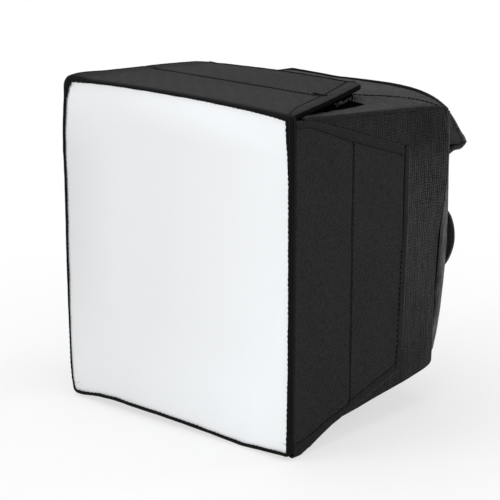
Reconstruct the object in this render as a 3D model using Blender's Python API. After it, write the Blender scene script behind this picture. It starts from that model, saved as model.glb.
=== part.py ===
# A folding softbox for a camera flash. A cloth diffuser in a bound edge closes the front. Each of the
# four walls is two boards sewn into cloth, with a fold seam between them. Soft cloth fills the corners
# and runs back to the panel that takes the flash head.
# Lengths are in metres. X runs across the face, Y from the face to the back, and Z is up.

import math

import bmesh
import bpy
from mathutils import Vector

# Overall sizes
FACE_WIDTH = 0.150
FACE_HEIGHT = 0.170
SURROUND_DEPTH = 0.1232  # from the face to the back edge of the soft cloth
GAP = 0.0003  # between pieces that touch

# Diffuser and its binding
BINDING_WIDTH = 0.0024
BINDING_DEPTH = 0.0033
BINDING_RADIUS = 0.005
DIFFUSER_SETBACK = 0.0005
DIFFUSER_THICKNESS = 0.0008

# Layers of a wall: cloth cover, board, silver lining
COVER_SHEET = 0.0008
BOARD_THICKNESS = 0.0013
LINING_THICKNESS = 0.0004
WALL = COVER_SHEET + BOARD_THICKNESS + LINING_THICKNESS + 2 * GAP
HEM_WIDTH = 0.0035
HEM_LIP = 0.0005  # flat cloth outside the hem

# Fold seams, measured back from the face
FRONT_LEAD = 0.0008  # cloth in front of the front fold, up to the binding
FRONT_FOLD = BINDING_DEPTH + math.hypot(FRONT_LEAD, COVER_SHEET) + GAP / 2
STRIP_LENGTH = 0.0425
MIDDLE_FOLD = FRONT_FOLD + STRIP_LENGTH
REAR_FOLD = MIDDLE_FOLD + STRIP_LENGTH
FLAP_REAR_LENGTH = 0.036
FLAP_END = MIDDLE_FOLD + FLAP_REAR_LENGTH
FRONT_MARGIN = 0.004  # flat cloth beside the front fold
FOLD_MARGIN = 0.002  # flat cloth beside the other folds

# Outlines of the walls
SIDE_TOP_TAPER = 0.348
SIDE_BOTTOM_TAPER = 0.265
SIDE_INSET = 0.0004  # of the side panels' edges at the front fold
FLAP_TAPER = 0.26
FLAP_INSET = 0.001
SIDE_CLEARANCE = 0.0005  # between a side panel's edge and the flap above or below it

# Hook strips under the flaps
HOOK_THICKNESS = 0.0008
HOOK_WIDTH = 0.012
HOOK_INSET = 0.003
HOOK_START = 0.004
HOOK_END_GAP = 0.005

# Soft cloth
CLOTH = 0.0012
CLOTH_INSET = 0.0006  # of the side cloth behind the panels' faces
CLOTH_TUCK = 0.007  # of the corner cloth under the flap
TOP_EDGE_TAPER = 0.105  # of the top edge, per unit of depth
TOP_EDGE_START = 0.025
FOLD_LINE_START = 0.044
FOLD_LINE_HEIGHT = 0.0096
FOLD_LINE_TAPER = 0.174
SEAM_GAP = 3 * GAP  # along Y, where a seam runs aslant
SEAM_END_DEPTH = 0.0035  # from the seam's outer end to the cloth's back edge
TAPE_WIDTH = 0.003
TAPE_CLEARANCE = 0.0014

# Back panel
BACK_SHEET = 0.0017
BACK_BOARD = 0.0018
BACK_THICKNESS = BACK_SHEET + BACK_BOARD + LINING_THICKNESS + 2 * GAP
BACK_RIM = 0.003
BACK_ROUNDING = 0.0015
BACK_FACE = SURROUND_DEPTH + GAP + BACK_THICKNESS
BACK_BOTTOM = 0.021
BACK_SHOULDER = 0.155
BACK_ARCH = 0.008
BACK_RADIUS = 0.006

# Flash opening, cuff and straps
OPENING_WIDTH = 0.078
OPENING_HEIGHT = 0.056
OPENING_RADIUS = 0.008
OPENING_CENTRE = 0.087
BINDING_WALL = 0.0012
CUFF_WALL = 0.0017
CUFF_LENGTH = 0.022
BAND_WALL = 0.0012
BAND_WIDTH = 0.007
LOOP_THICKNESS = 0.0008
LOOP_LENGTH = 0.010
LOOP_HEIGHT = 0.022
LOOP_START = 0.0025
STRAP_SPACE = 0.0057  # between the cuff's patch and a strap
STRAP_ROOT = OPENING_WIDTH / 2 + CUFF_WALL + GAP + LOOP_THICKNESS + STRAP_SPACE
STRAP_OVERHANG = 0.0075  # of a strap's end past the back panel's side
STRAP_LENGTH = FACE_WIDTH / 2 + STRAP_OVERHANG - STRAP_ROOT
STRAP_WIDTH = 0.030
STRAP_THICKNESS = 0.0014
STRAP_HOOK_LENGTH = 0.017
STRAP_HOOK_WIDTH = 0.020

# Hood
HOOD_DROP = 0.0045  # of its root below the back panel's top edge
HOOD_DEPTH = 0.0165
HOOD_FALL = 0.0165
HOOD_WING_DROP = 0.019
HOOD_THICKNESS = 0.0018
HOOD_INSET = 0.0006
HOOD_HINGE_RISE = 0.001

DEPTH = BACK_FACE + GAP + CUFF_LENGTH
HALF_WIDTH = FACE_WIDTH / 2
ARCH_STEPS = 12
CORNER_STEPS = 4

# name: (sRGB red, green, blue, roughness, metallic)
FINISHES = {
    "diffuser": (0.93, 0.94, 0.96, 0.60, 0.0),
    "binding": (0.06, 0.06, 0.065, 0.85, 0.0),
    "cover": (0.17, 0.17, 0.18, 0.80, 0.0),
    "board": (0.55, 0.50, 0.42, 0.90, 0.0),
    "lining": (0.75, 0.76, 0.78, 0.35, 0.6),
    "loop_cloth": (0.19, 0.19, 0.20, 0.95, 0.0),
    "hook": (0.09, 0.09, 0.10, 0.70, 0.0),
    "elastic": (0.08, 0.08, 0.085, 0.80, 0.0),
}


def clear_scene():
    for obj in list(bpy.data.objects):
        bpy.data.objects.remove(obj, do_unlink=True)


def linear(value):
    return value / 12.92 if value <= 0.04045 else ((value + 0.055) / 1.055) ** 2.4


def finish(name):
    material = bpy.data.materials.get(name)
    if material:
        return material
    red, green, blue, roughness, metallic = FINISHES[name]
    material = bpy.data.materials.new(name)
    material.use_nodes = True
    shader = material.node_tree.nodes["Principled BSDF"]
    shader.inputs["Base Color"].default_value = (linear(red), linear(green), linear(blue), 1)
    shader.inputs["Roughness"].default_value = roughness
    shader.inputs["Metallic"].default_value = metallic
    material.diffuse_color = (red, green, blue, 1)
    return material


def placed(point):
    """A point whose Y is measured back from the face, in the part's frame, whose Y is 0 at mid depth."""
    x, y, z = point
    return Vector((x, y - DEPTH / 2, z))


def make_object(name, shape, material, pivot):
    """Turns a closed bmesh into an object whose origin is at its pivot."""
    bmesh.ops.recalc_face_normals(shape, faces=shape.faces[:])
    origin = placed(pivot)
    bmesh.ops.translate(shape, verts=shape.verts[:], vec=-origin)
    mesh = bpy.data.meshes.new(name)
    shape.to_mesh(mesh)
    shape.free()
    mesh.materials.append(finish(material))
    obj = bpy.data.objects.new(name, mesh)
    obj.location = origin
    bpy.context.scene.collection.objects.link(obj)
    return obj


def loft(name, rings, material, pivot=(0, 0, 0), closed=False):
    """Joins rings of points in order. The ends are capped, or with closed the last ring meets the first."""
    shape = bmesh.new()
    rows = [[shape.verts.new(placed(point)) for point in ring] for ring in rings]
    pairs = list(zip(rows, rows[1:]))
    if closed:
        pairs.append((rows[-1], rows[0]))
    else:
        shape.faces.new(rows[0])
        shape.faces.new(rows[-1])
    count = len(rows[0])
    for first, second in pairs:
        for i in range(count):
            j = (i + 1) % count
            shape.faces.new((first[i], first[j], second[j], second[i]))
    return make_object(name, shape, material, pivot)


def sheet(name, grid, shift, material, pivot=(0, 0, 0)):
    """A curved sheet: a grid of points, and the same grid moved by shift, closed round the border."""
    shape = bmesh.new()
    outer = [[shape.verts.new(placed(point)) for point in row] for row in grid]
    moved = [[tuple(a + b for a, b in zip(point, shift)) for point in row] for row in grid]
    inner = [[shape.verts.new(placed(point)) for point in row] for row in moved]
    rows, columns = len(grid), len(grid[0])
    for layer in (outer, inner):
        for i in range(rows - 1):
            for j in range(columns - 1):
                shape.faces.new(
                    (layer[i][j], layer[i + 1][j], layer[i + 1][j + 1], layer[i][j + 1])
                )
    border = [(i, 0) for i in range(rows)]
    border += [(rows - 1, j) for j in range(1, columns)]
    border += [(i, columns - 1) for i in range(rows - 2, -1, -1)]
    border += [(0, j) for j in range(columns - 2, 0, -1)]
    for (a, b), (c, d) in zip(border, border[1:] + border[:1]):
        shape.faces.new((outer[a][b], outer[c][d], inner[c][d], inner[a][b]))
    return make_object(name, shape, material, pivot)


def between(start, end, steps):
    return [start + (end - start) * i / steps for i in range(steps + 1)]


def clamped(value, low, high):
    return max(low, min(high, value))


# The four walls. A wall's own coordinates are y (back from the face), s (across the wall) and w
# (inwards from its outer face).

# The side panels stop short of the flaps, so that they can fold in between them.
SIDE_LOW = WALL + SIDE_CLEARANCE
SIDE_HIGH = FACE_HEIGHT - WALL - SIDE_CLEARANCE


def side_low(y):
    return max(SIDE_LOW, SIDE_INSET + SIDE_BOTTOM_TAPER * (y - FRONT_FOLD))


def side_high(y):
    return min(SIDE_HIGH, FACE_HEIGHT - SIDE_INSET - SIDE_TOP_TAPER * (y - FRONT_FOLD))


def flap_edge(y):
    return HALF_WIDTH - FLAP_INSET - FLAP_TAPER * y


SIDE_LOW_CORNER = FRONT_FOLD + (SIDE_LOW - SIDE_INSET) / SIDE_BOTTOM_TAPER
SIDE_HIGH_CORNER = FRONT_FOLD + (FACE_HEIGHT - SIDE_INSET - SIDE_HIGH) / SIDE_TOP_TAPER

# wall: (its point for y, s, w; its low edge; its high edge; where its low and high edges turn)
WALLS = {
    "right": (
        lambda y, s, w: (HALF_WIDTH - w, y, s), side_low, side_high,
        SIDE_LOW_CORNER, SIDE_HIGH_CORNER,
    ),
    "left": (
        lambda y, s, w: (w - HALF_WIDTH, y, s), side_low, side_high,
        SIDE_LOW_CORNER, SIDE_HIGH_CORNER,
    ),
    "top": (
        lambda y, s, w: (s, y, FACE_HEIGHT - w), lambda y: -flap_edge(y), flap_edge,
        FRONT_FOLD, FRONT_FOLD,
    ),
    "bottom": (
        lambda y, s, w: (s, y, w), lambda y: -flap_edge(y), flap_edge,
        FRONT_FOLD, FRONT_FOLD,
    ),
}


def strip_outline(wall, start, end, inset, w):
    """Six points round a strip of a wall, from start to end and drawn in by inset at its sides."""
    point, low, high, low_corner, high_corner = WALLS[wall]
    corners = []
    for corner in (low_corner, high_corner):
        inside = start + HEM_WIDTH < corner < end - HEM_WIDTH
        corners.append(corner if inside else (start + end) / 2)
    lower = [point(y, low(y) + inset, w) for y in (start, corners[0], end)]
    upper = [point(y, high(y) - inset, w) for y in (end, corners[1], start)]
    return lower + upper


def make_strip(wall, part, start, end, rim_start, pivot):
    """One board of a wall: its cloth cover, open on the inside, the board in it and the lining over that."""
    rim = (rim_start, end - FOLD_MARGIN)
    pocket = (rim[0] + HEM_WIDTH, rim[1] - HEM_WIDTH)
    fill = (pocket[0] + GAP, pocket[1] - GAP)
    hem = HEM_LIP + HEM_WIDTH
    rings = [
        strip_outline(wall, start, end, 0, 0),
        strip_outline(wall, start, end, 0, COVER_SHEET),
        strip_outline(wall, *rim, HEM_LIP, COVER_SHEET),
        strip_outline(wall, *rim, HEM_LIP, WALL),
        strip_outline(wall, *pocket, hem, WALL),
        strip_outline(wall, *pocket, hem, COVER_SHEET),
    ]
    loft(f"{wall}_{part}_cover", rings, "cover", pivot)
    board = (COVER_SHEET + GAP, COVER_SHEET + GAP + BOARD_THICKNESS)
    layers = {"board": board, "lining": (board[1] + GAP, WALL)}
    for layer, depths in layers.items():
        rings = [strip_outline(wall, *fill, hem + GAP, w) for w in depths]
        loft(f"{wall}_{part}_{layer}", rings, layer, pivot)


def make_walls():
    for wall in WALLS:
        point = WALLS[wall][0]
        rear_end = REAR_FOLD if wall in ("left", "right") else FLAP_END
        front_pivot = point(FRONT_FOLD if rear_end == FLAP_END else MIDDLE_FOLD, 0, 0)
        rear_pivot = point(MIDDLE_FOLD if rear_end == FLAP_END else REAR_FOLD, 0, 0)
        start, end = FRONT_FOLD - FRONT_LEAD, MIDDLE_FOLD - GAP
        make_strip(wall, "front", start, end, FRONT_FOLD + FRONT_MARGIN, front_pivot)
        start, end = MIDDLE_FOLD + GAP, rear_end - GAP
        make_strip(wall, "rear", start, end, start + FOLD_MARGIN, rear_pivot)


def make_hook_strips():
    """A strip of hooks along each side of each flap, on the inner face of its rear board."""
    start = MIDDLE_FOLD + HOOK_START
    end = FLAP_END - HOOK_END_GAP
    for wall in ("top", "bottom"):
        point = WALLS[wall][0]
        pivot = point(MIDDLE_FOLD, 0, 0)
        for side, sign in (("right", 1), ("left", -1)):
            rings = []
            for w in (WALL + GAP, WALL + GAP + HOOK_THICKNESS):
                outer = [(y, flap_edge(y) - HOOK_INSET) for y in (start, end)]
                inner = [(y, s - HOOK_WIDTH) for y, s in reversed(outer)]
                rings.append([point(y, sign * s, w) for y, s in outer + inner])
            loft(f"{wall}_hook_{side}", rings, "hook", pivot)


# Front edge


def rounded_rectangle(width, height, radius, centre, y):
    """Points round a rectangle with round corners, in the plane at depth y."""
    points = []
    corners = ((1, 1, 0), (-1, 1, 90), (-1, -1, 180), (1, -1, 270))
    for sign_x, sign_z, start in corners:
        for step in range(CORNER_STEPS + 1):
            angle = math.radians(start + 90 * step / CORNER_STEPS)
            x = sign_x * (width / 2 - radius) + radius * math.cos(angle)
            z = sign_z * (height / 2 - radius) + radius * math.sin(angle)
            points.append((x, y, centre + z))
    return points


def tube_rings(width, height, radius, wall, centre, start, end):
    """Rings round the wall of a rectangular tube whose outer size is given."""
    inner = (width - 2 * wall, height - 2 * wall, max(radius - wall, radius / 4))
    return [
        rounded_rectangle(width, height, radius, centre, start),
        rounded_rectangle(width, height, radius, centre, end),
        rounded_rectangle(*inner, centre, end),
        rounded_rectangle(*inner, centre, start),
    ]


def make_front():
    centre = FACE_HEIGHT / 2
    rings = tube_rings(
        FACE_WIDTH, FACE_HEIGHT, BINDING_RADIUS, BINDING_WIDTH, centre, 0, BINDING_DEPTH
    )
    loft("front_binding", rings, "binding", closed=True)
    margin = 2 * (BINDING_WIDTH + GAP)
    size = (FACE_WIDTH - margin, FACE_HEIGHT - margin, BINDING_RADIUS - BINDING_WIDTH)
    depths = (DIFFUSER_SETBACK, DIFFUSER_SETBACK + DIFFUSER_THICKNESS)
    rings = [rounded_rectangle(*size, centre, y) for y in depths]
    loft("diffuser_cloth", rings, "diffuser")


# Soft cloth round the panels

UNDER_FLAP = FACE_HEIGHT - WALL - HOOK_THICKNESS - 2 * GAP
REAR_CROWN = BACK_SHOULDER + BACK_ARCH
CLOTH_EDGE = HALF_WIDTH - CLOTH_INSET
TOP_EDGE = FACE_HEIGHT - WALL - SIDE_CLEARANCE
SEAM_START = FLAP_END - GAP - FOLD_MARGIN
SEAM_END = SURROUND_DEPTH - SEAM_END_DEPTH
LOWER_FLOOR = WALL + HOOK_THICKNESS + 2 * GAP
CLOTH_DROP = CLOTH + GAP  # from the top cloth's face to the side cloth under it

# How far back the cloth above and below a side panel starts, where the panel's edge leaves room for it
TOP_CLOTH_START = (
    FRONT_FOLD
    + (FACE_HEIGHT - SIDE_INSET + GAP + CLOTH_DROP - TOP_EDGE) / SIDE_TOP_TAPER
    + HEM_WIDTH
)
LOWER_CLOTH_START = FRONT_FOLD + (LOWER_FLOOR + CLOTH_DROP - SIDE_INSET) / SIDE_BOTTOM_TAPER


def edge_height(y):
    """Height of the cloth's top edge."""
    return TOP_EDGE - TOP_EDGE_TAPER * max(0, y - TOP_EDGE_START)


def top_height(x, y):
    """Height of the cloth on top: flat in the middle and rolled down to its edges."""
    share = clamped((y - SEAM_START) / (SURROUND_DEPTH - SEAM_START), 0, 1)
    crown = UNDER_FLAP + (REAR_CROWN - UNDER_FLAP) * share
    edge = edge_height(y)
    return edge + (crown - edge) * (1 - min(1, abs(x) / HALF_WIDTH) ** 4)


def fold_line(y):
    """Height of the side cloth's lower edge, where it tucks under."""
    return FOLD_LINE_HEIGHT + FOLD_LINE_TAPER * (y - FOLD_LINE_START)


SEAM_INNER = flap_edge(SEAM_START) - CLOTH_TUCK
SEAM_SLOPE = (SEAM_END - SEAM_START) / (CLOTH_EDGE - SEAM_INNER)


def corner_seam(y):
    """Half width of the corner cloth's inner edge: under the flap, then along the seam to the corner."""
    if y <= SEAM_START:
        return flap_edge(y) - CLOTH_TUCK
    return SEAM_INNER + (y - SEAM_START) / SEAM_SLOPE


def seam_depth(x):
    """How far back the seam between a corner cloth and the rear cloth lies at x."""
    return SEAM_START + max(0, abs(x) - SEAM_INNER) * SEAM_SLOPE


def make_side_cloths():
    """A flat cloth shaped like a C round the rear of each side panel."""
    start = TOP_CLOTH_START
    inner_end = REAR_FOLD + TAPE_CLEARANCE + TAPE_WIDTH + GAP
    rear = SURROUND_DEPTH
    chamfer = HEM_WIDTH
    outline = [(start, edge_height(start) - CLOTH_DROP)]
    outline += [(rear - chamfer, edge_height(rear - chamfer) - CLOTH_DROP)]
    outline += [(rear, edge_height(rear) - CLOTH_DROP - chamfer), (rear, fold_line(rear))]
    outline += [(FOLD_LINE_START, fold_line(FOLD_LINE_START))]
    outline += [(FOLD_LINE_START, side_low(FOLD_LINE_START) - GAP)]
    outline += [(inner_end, side_low(inner_end) - GAP)]
    outline += [(inner_end, side_high(inner_end) + GAP)]
    outline += [(start, side_high(start) + GAP)]
    for side, sign in (("right", 1), ("left", -1)):
        rings = []
        for x in (CLOTH_EDGE, CLOTH_EDGE - CLOTH):
            rings.append([(sign * x, y, z) for y, z in outline])
        loft(f"{side}_side_cloth", rings, "loop_cloth")


def make_seam_tapes():
    """The tape that carries each side panel's rear fold."""
    start = REAR_FOLD + TAPE_CLEARANCE
    end = start + TAPE_WIDTH
    outline = [(start, side_low(start)), (end, side_low(end))]
    outline += [(end, side_high(end)), (start, side_high(start))]
    for side, sign in (("right", 1), ("left", -1)):
        rings = []
        for x in (CLOTH_EDGE, CLOTH_EDGE - CLOTH):
            rings.append([(sign * x, y, z) for y, z in outline])
        loft(f"{side}_seam_tape", rings, "cover")


def make_top_cloths():
    depths = between(TOP_CLOTH_START, SEAM_START, 4)
    depths += between(SEAM_START, seam_depth(CLOTH_EDGE - CLOTH), 4)[1:]
    for side, sign in (("right", 1), ("left", -1)):
        grid = []
        for y in depths:
            across = between(corner_seam(y), CLOTH_EDGE, 3)
            grid.append([(sign * x, y, top_height(x, y)) for x in across])
        loop = "loop_cloth"
        sheet(f"top_corner_cloth_{side}", grid, (0, 0, -CLOTH), loop)
    grid = []
    for share in between(-1, 1, ARCH_STEPS):
        x = share * CLOTH_EDGE
        front = seam_depth(x) + SEAM_GAP
        grid.append([(x, y, top_height(x, y)) for y in between(front, SURROUND_DEPTH, 3)])
    sheet("rear_top_cloth", grid, (0, 0, -CLOTH), "loop_cloth")


def lower_height(x, y):
    """Height of the lower cloth: up from the flap's edge to the side cloth's fold line or the back."""
    side = max(LOWER_FLOOR, min(fold_line(y), side_low(y)) - CLOTH - GAP)
    share = clamped((y - SEAM_START) / (SURROUND_DEPTH - SEAM_START), 0, 1)
    middle = LOWER_FLOOR + (BACK_BOTTOM + GAP - LOWER_FLOOR) * share**1.5
    inner = corner_seam(min(y, SEAM_START))
    across = clamped((abs(x) - inner) / (CLOTH_EDGE - inner), 0, 1)
    return middle + (max(side, middle) - middle) * across**1.5


def make_lower_cloths():
    edge = CLOTH_EDGE - CLOTH
    depths = between(LOWER_CLOTH_START, SEAM_START, 4)
    depths += between(SEAM_START, seam_depth(edge - CLOTH), 4)[1:]
    for side, sign in (("right", 1), ("left", -1)):
        grid = []
        for y in depths:
            across = between(corner_seam(y), edge, 3)
            grid.append([(sign * x, y, lower_height(x, y)) for x in across])
        sheet(f"lower_corner_cloth_{side}", grid, (0, 0, CLOTH), "loop_cloth")
    grid = []
    for share in between(-1, 1, ARCH_STEPS):
        x = share * edge
        front = seam_depth(x) + SEAM_GAP
        grid.append([(x, y, lower_height(x, y)) for y in between(front, SURROUND_DEPTH, 3)])
    sheet("rear_bottom_cloth", grid, (0, 0, CLOTH), "loop_cloth")


# Back panel


def back_top(x):
    return BACK_SHOULDER + BACK_ARCH * (1 - min(1, abs(x) / HALF_WIDTH) ** 4)


def back_outline(inset, y):
    """Points round the back panel: round lower corners and an arched top, drawn in by inset."""
    half = HALF_WIDTH - inset
    low = BACK_BOTTOM + inset
    points = []
    for sign, start in ((-1, 180), (1, 270)):
        for step in range(CORNER_STEPS + 1):
            angle = math.radians(start + 90 * step / CORNER_STEPS)
            x = sign * (half - BACK_RADIUS) + BACK_RADIUS * math.cos(angle)
            points.append((x, y, low + BACK_RADIUS + BACK_RADIUS * math.sin(angle)))
    for share in between(1, -1, ARCH_STEPS):
        points.append((share * half, y, back_top(share * HALF_WIDTH) - inset))
    return points


def make_opening_cutter():
    size = (OPENING_WIDTH, OPENING_HEIGHT, OPENING_RADIUS, OPENING_CENTRE)
    reach = 2 * BACK_THICKNESS
    rings = [rounded_rectangle(*size, BACK_FACE + y) for y in (-reach, reach)]
    cutter = loft("opening_cutter", rings, "binding")
    cutter.hide_render = True
    cutter.display_type = "WIRE"
    return cutter


def cut_opening(obj, cutter):
    cut = obj.modifiers.new("flash_opening", "BOOLEAN")
    cut.operation = "DIFFERENCE"
    cut.solver = "EXACT"
    cut.object = cutter


def make_back():
    cutter = make_opening_cutter()
    front = BACK_FACE - BACK_THICKNESS
    floor = BACK_FACE - BACK_SHEET
    rings = [
        back_outline(BACK_ROUNDING, BACK_FACE),
        back_outline(BACK_ROUNDING / 4, BACK_FACE - BACK_ROUNDING / 2),
        back_outline(0, BACK_FACE - BACK_ROUNDING),
        back_outline(0, front),
        back_outline(BACK_RIM, front),
        back_outline(BACK_RIM, floor),
    ]
    cut_opening(loft("back_cover", rings, "cover"), cutter)
    board = (floor - GAP - BACK_BOARD, floor - GAP)
    for layer, depths in (("board", board), ("lining", (front, board[0] - GAP))):
        rings = [back_outline(BACK_RIM + GAP, y) for y in depths]
        cut_opening(loft(f"back_{layer}", rings, layer), cutter)


def make_cuff():
    """The cuff that takes the flash head, the binding of its opening and the band round its end."""
    centre = OPENING_CENTRE
    width, height = OPENING_WIDTH - 2 * GAP, OPENING_HEIGHT - 2 * GAP
    rings = tube_rings(
        width, height, OPENING_RADIUS - GAP, BINDING_WALL, centre,
        BACK_FACE - BACK_THICKNESS, BACK_FACE,
    )
    loft("opening_binding", rings, "binding", closed=True)
    root = BACK_FACE + GAP
    width, height = OPENING_WIDTH + 2 * CUFF_WALL, OPENING_HEIGHT + 2 * CUFF_WALL
    radius = OPENING_RADIUS + CUFF_WALL
    rings = tube_rings(width, height, radius, CUFF_WALL, centre, root, root + CUFF_LENGTH)
    loft("flash_cuff", rings, "elastic", closed=True)
    grow = GAP + BAND_WALL
    rings = tube_rings(
        width + 2 * grow, height + 2 * grow, radius + grow, BAND_WALL, centre,
        root + CUFF_LENGTH - BAND_WIDTH, root + CUFF_LENGTH,
    )
    loft("cuff_elastic", rings, "elastic", closed=True)
    for side, sign in (("right", 1), ("left", -1)):
        face = width / 2 + GAP
        rings = []
        for x in (face, face + LOOP_THICKNESS):
            start = root + LOOP_START
            ends = ((start, -1), (start + LOOP_LENGTH, -1), (start + LOOP_LENGTH, 1), (start, 1))
            rings.append([(sign * x, y, centre + s * LOOP_HEIGHT / 2) for y, s in ends])
        loft(f"cuff_loop_{side}", rings, "loop_cloth")


def make_straps():
    """A strap with a round end at each side of the cuff, and the hook patch on its back."""
    root = BACK_FACE + GAP
    radius = STRAP_WIDTH / 2
    middle = STRAP_ROOT + STRAP_LENGTH - radius
    for side, sign in (("right", 1), ("left", -1)):
        pivot = (sign * STRAP_ROOT, root + STRAP_THICKNESS / 2, OPENING_CENTRE)
        outline = [(STRAP_ROOT, radius), (STRAP_ROOT, -radius)]
        for angle in between(-90, 90, 2 * CORNER_STEPS):
            turn = math.radians(angle)
            outline.append((middle + radius * math.cos(turn), radius * math.sin(turn)))
        rings = []
        for y in (root, root + STRAP_THICKNESS):
            rings.append([(sign * x, y, OPENING_CENTRE + z) for x, z in outline])
        loft(f"strap_{side}", rings, "elastic", pivot)
        start = middle - STRAP_HOOK_LENGTH / 2
        end = middle + STRAP_HOOK_LENGTH / 2
        half = STRAP_HOOK_WIDTH / 2
        outline = [(start, half), (start, -half), (end, -half), (end, half)]
        rings = []
        face = root + STRAP_THICKNESS + GAP
        for y in (face, face + HOOK_THICKNESS):
            rings.append([(sign * x, y, OPENING_CENTRE + z) for x, z in outline])
        loft(f"strap_hook_{side}", rings, "hook", pivot)


def make_hood():
    """The hood behind the top edge: a sloping panel and a wing at each end."""
    root = BACK_FACE + GAP
    hinge = (0, root, back_top(0) - HOOD_DROP + HOOD_HINGE_RISE)
    half = HALF_WIDTH - HOOD_INSET
    grid = []
    for share in between(-1, 1, ARCH_STEPS):
        x = share * half
        top = back_top(share * HALF_WIDTH) - HOOD_DROP
        low = top - HOOD_FALL - BACK_ARCH / 2 * (1 - abs(share) ** 4)
        grid.append([(x, root, top), (x, root + HOOD_DEPTH, low)])
    sheet("hood_panel", grid, (0, 0, -HOOD_THICKNESS), "loop_cloth", hinge)
    top = BACK_SHOULDER - HOOD_DROP - HOOD_THICKNESS - GAP
    outline = [(root, top), (root + HOOD_DEPTH, top - HOOD_FALL), (root, top - HOOD_WING_DROP)]
    for side, sign in (("right", 1), ("left", -1)):
        rings = []
        for x in (half, half - CLOTH):
            rings.append([(sign * x, y, z) for y, z in outline])
        loft(f"hood_wing_{side}", rings, "loop_cloth", hinge)


def main():
    clear_scene()
    make_front()
    make_walls()
    make_hook_strips()
    make_side_cloths()
    make_seam_tapes()
    make_top_cloths()
    make_lower_cloths()
    make_back()
    make_cuff()
    make_straps()
    make_hood()


main()
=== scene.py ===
# Folding softbox for a camera flash: cloth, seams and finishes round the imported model
import math

import bmesh
import bpy
import numpy as np
from mathutils import Matrix, Vector


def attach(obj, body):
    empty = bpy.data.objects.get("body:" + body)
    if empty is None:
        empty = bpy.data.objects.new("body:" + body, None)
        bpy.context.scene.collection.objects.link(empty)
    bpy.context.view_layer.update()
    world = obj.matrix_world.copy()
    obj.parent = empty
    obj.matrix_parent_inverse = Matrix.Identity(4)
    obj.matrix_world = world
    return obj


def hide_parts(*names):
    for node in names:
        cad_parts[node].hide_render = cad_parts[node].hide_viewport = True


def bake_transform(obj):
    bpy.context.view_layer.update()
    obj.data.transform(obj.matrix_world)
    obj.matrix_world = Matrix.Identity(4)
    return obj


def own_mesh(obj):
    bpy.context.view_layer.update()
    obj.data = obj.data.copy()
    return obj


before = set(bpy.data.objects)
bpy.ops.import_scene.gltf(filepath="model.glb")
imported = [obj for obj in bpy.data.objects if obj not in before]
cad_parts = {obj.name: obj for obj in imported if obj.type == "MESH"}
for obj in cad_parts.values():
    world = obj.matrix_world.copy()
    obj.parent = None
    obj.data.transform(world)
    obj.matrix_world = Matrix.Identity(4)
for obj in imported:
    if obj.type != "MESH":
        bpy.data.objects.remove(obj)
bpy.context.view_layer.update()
print("stage: frame loaded")

# Shapes are worked out in mm, with y measured back from the white face, and toFrame() moves them
# to the part's frame.
box = {
    "halfWidth": 75.0,
    "height": 170.0,
    "midDepth": 75.15,  # from the white face to the frame's y = 0
    "frontFold": 4.5814,
    "middleFold": 47.0814,
    "rearFold": 89.5814,
    "flapEnd": 83.0814,
    "wall": 3.1,
    "sheet": 0.8,
    "clothEdge": 74.4,
    "surround": 123.2,
    "backFront": 123.5,
    "backFace": 128.0,
    "openingCentre": 87.0,
}
half, tall, middle, face = box["halfWidth"], box["height"], box["middleFold"], box["backFace"]
tau = math.tau
bothSides = (("right", 1), ("left", -1))


# ---- small maths


def smooth(low, high, value):
    # 0 below low, 1 above high, an S curve between them
    share = np.clip((value - low) / (high - low), 0, 1)
    return share * share * (3 - 2 * share)


def roll(distance, radius):
    # 1 at an edge, falling to 0 at radius along a quarter circle
    return 1 - np.sqrt(1 - np.clip(1 - distance / radius, 0, 1) ** 2)


def bump(value, centre, width):
    # 1 at its centre, falling off like a bell
    return np.exp(-(((value - centre) / width) ** 2))


def wave(at, pitch, phase=0.0):
    return np.sin(tau * at / pitch + phase)


def wander(u, v, length, seed):
    # smooth unevenness from -1 to 1: six sine waves in seeded directions, about length mm apart
    draw = np.random.default_rng(seed)
    total = np.zeros(np.broadcast(u, v).shape)
    for _ in range(6):
        turn, pitch, phase = draw.uniform(0, tau), length * draw.uniform(0.6, 1.6), draw.uniform(0, tau)
        total = total + wave(u * math.cos(turn) + v * math.sin(turn), pitch, phase)
    return total / 6


def curve(places, values):
    # a measured line, straight between its places
    return lambda at: np.interp(at, places, values)


def ticks(start, end, edge, step, last=None):
    # positions from start to end: at the given distances from both ends, and step apart between
    head, tail = start + np.array(edge, float), end - np.array(last or edge, float)[::-1]
    count = max(2, round((tail[0] - head[-1]) / step))
    return np.concatenate([head[:-1], np.linspace(head[-1], tail[0], count + 1), tail[1:]])


def spaced(low, high, near, far, count, least=1.0):
    # rows of positions from low to high: at the near and far distances from the ends, drawn
    # together where the gap is under least, and count of them evenly between
    low, high = low[:, None], np.broadcast_to(high, len(low))[:, None]
    scale = np.minimum(1, (high - low) / least)
    start, end = low + np.array(near) * scale, high - np.array(far)[::-1] * scale
    between = start[:, -1:] + (end[:, :1] - start[:, -1:]) * np.linspace(0, 1, count)
    return np.concatenate([start[:, :-1], between, end[:, 1:]], 1)


def join(*parts):
    # coordinates to points
    return np.stack(np.broadcast_arrays(*parts), -1)


def unit(vectors):
    return vectors / np.maximum(np.linalg.norm(vectors, axis=-1, keepdims=True), 1e-9)


def lengths(points, axis=0):
    # distance along a line, or along one direction of a grid, averaged over the other
    grid = points if points.ndim == 3 else points[:, None]
    steps = np.linalg.norm(np.diff(grid, axis=axis), axis=2).mean(axis=1 - axis)
    return np.concatenate([[0], np.cumsum(steps)])


def closed(line):
    return np.concatenate([line, line[:1]])


# ---- meshes: a patch is its points, its quads and their places on the cloth in mm


def toFrame(points):
    return (np.asarray(points, float) - (0, box["midDepth"], 0)) * 0.001


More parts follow.
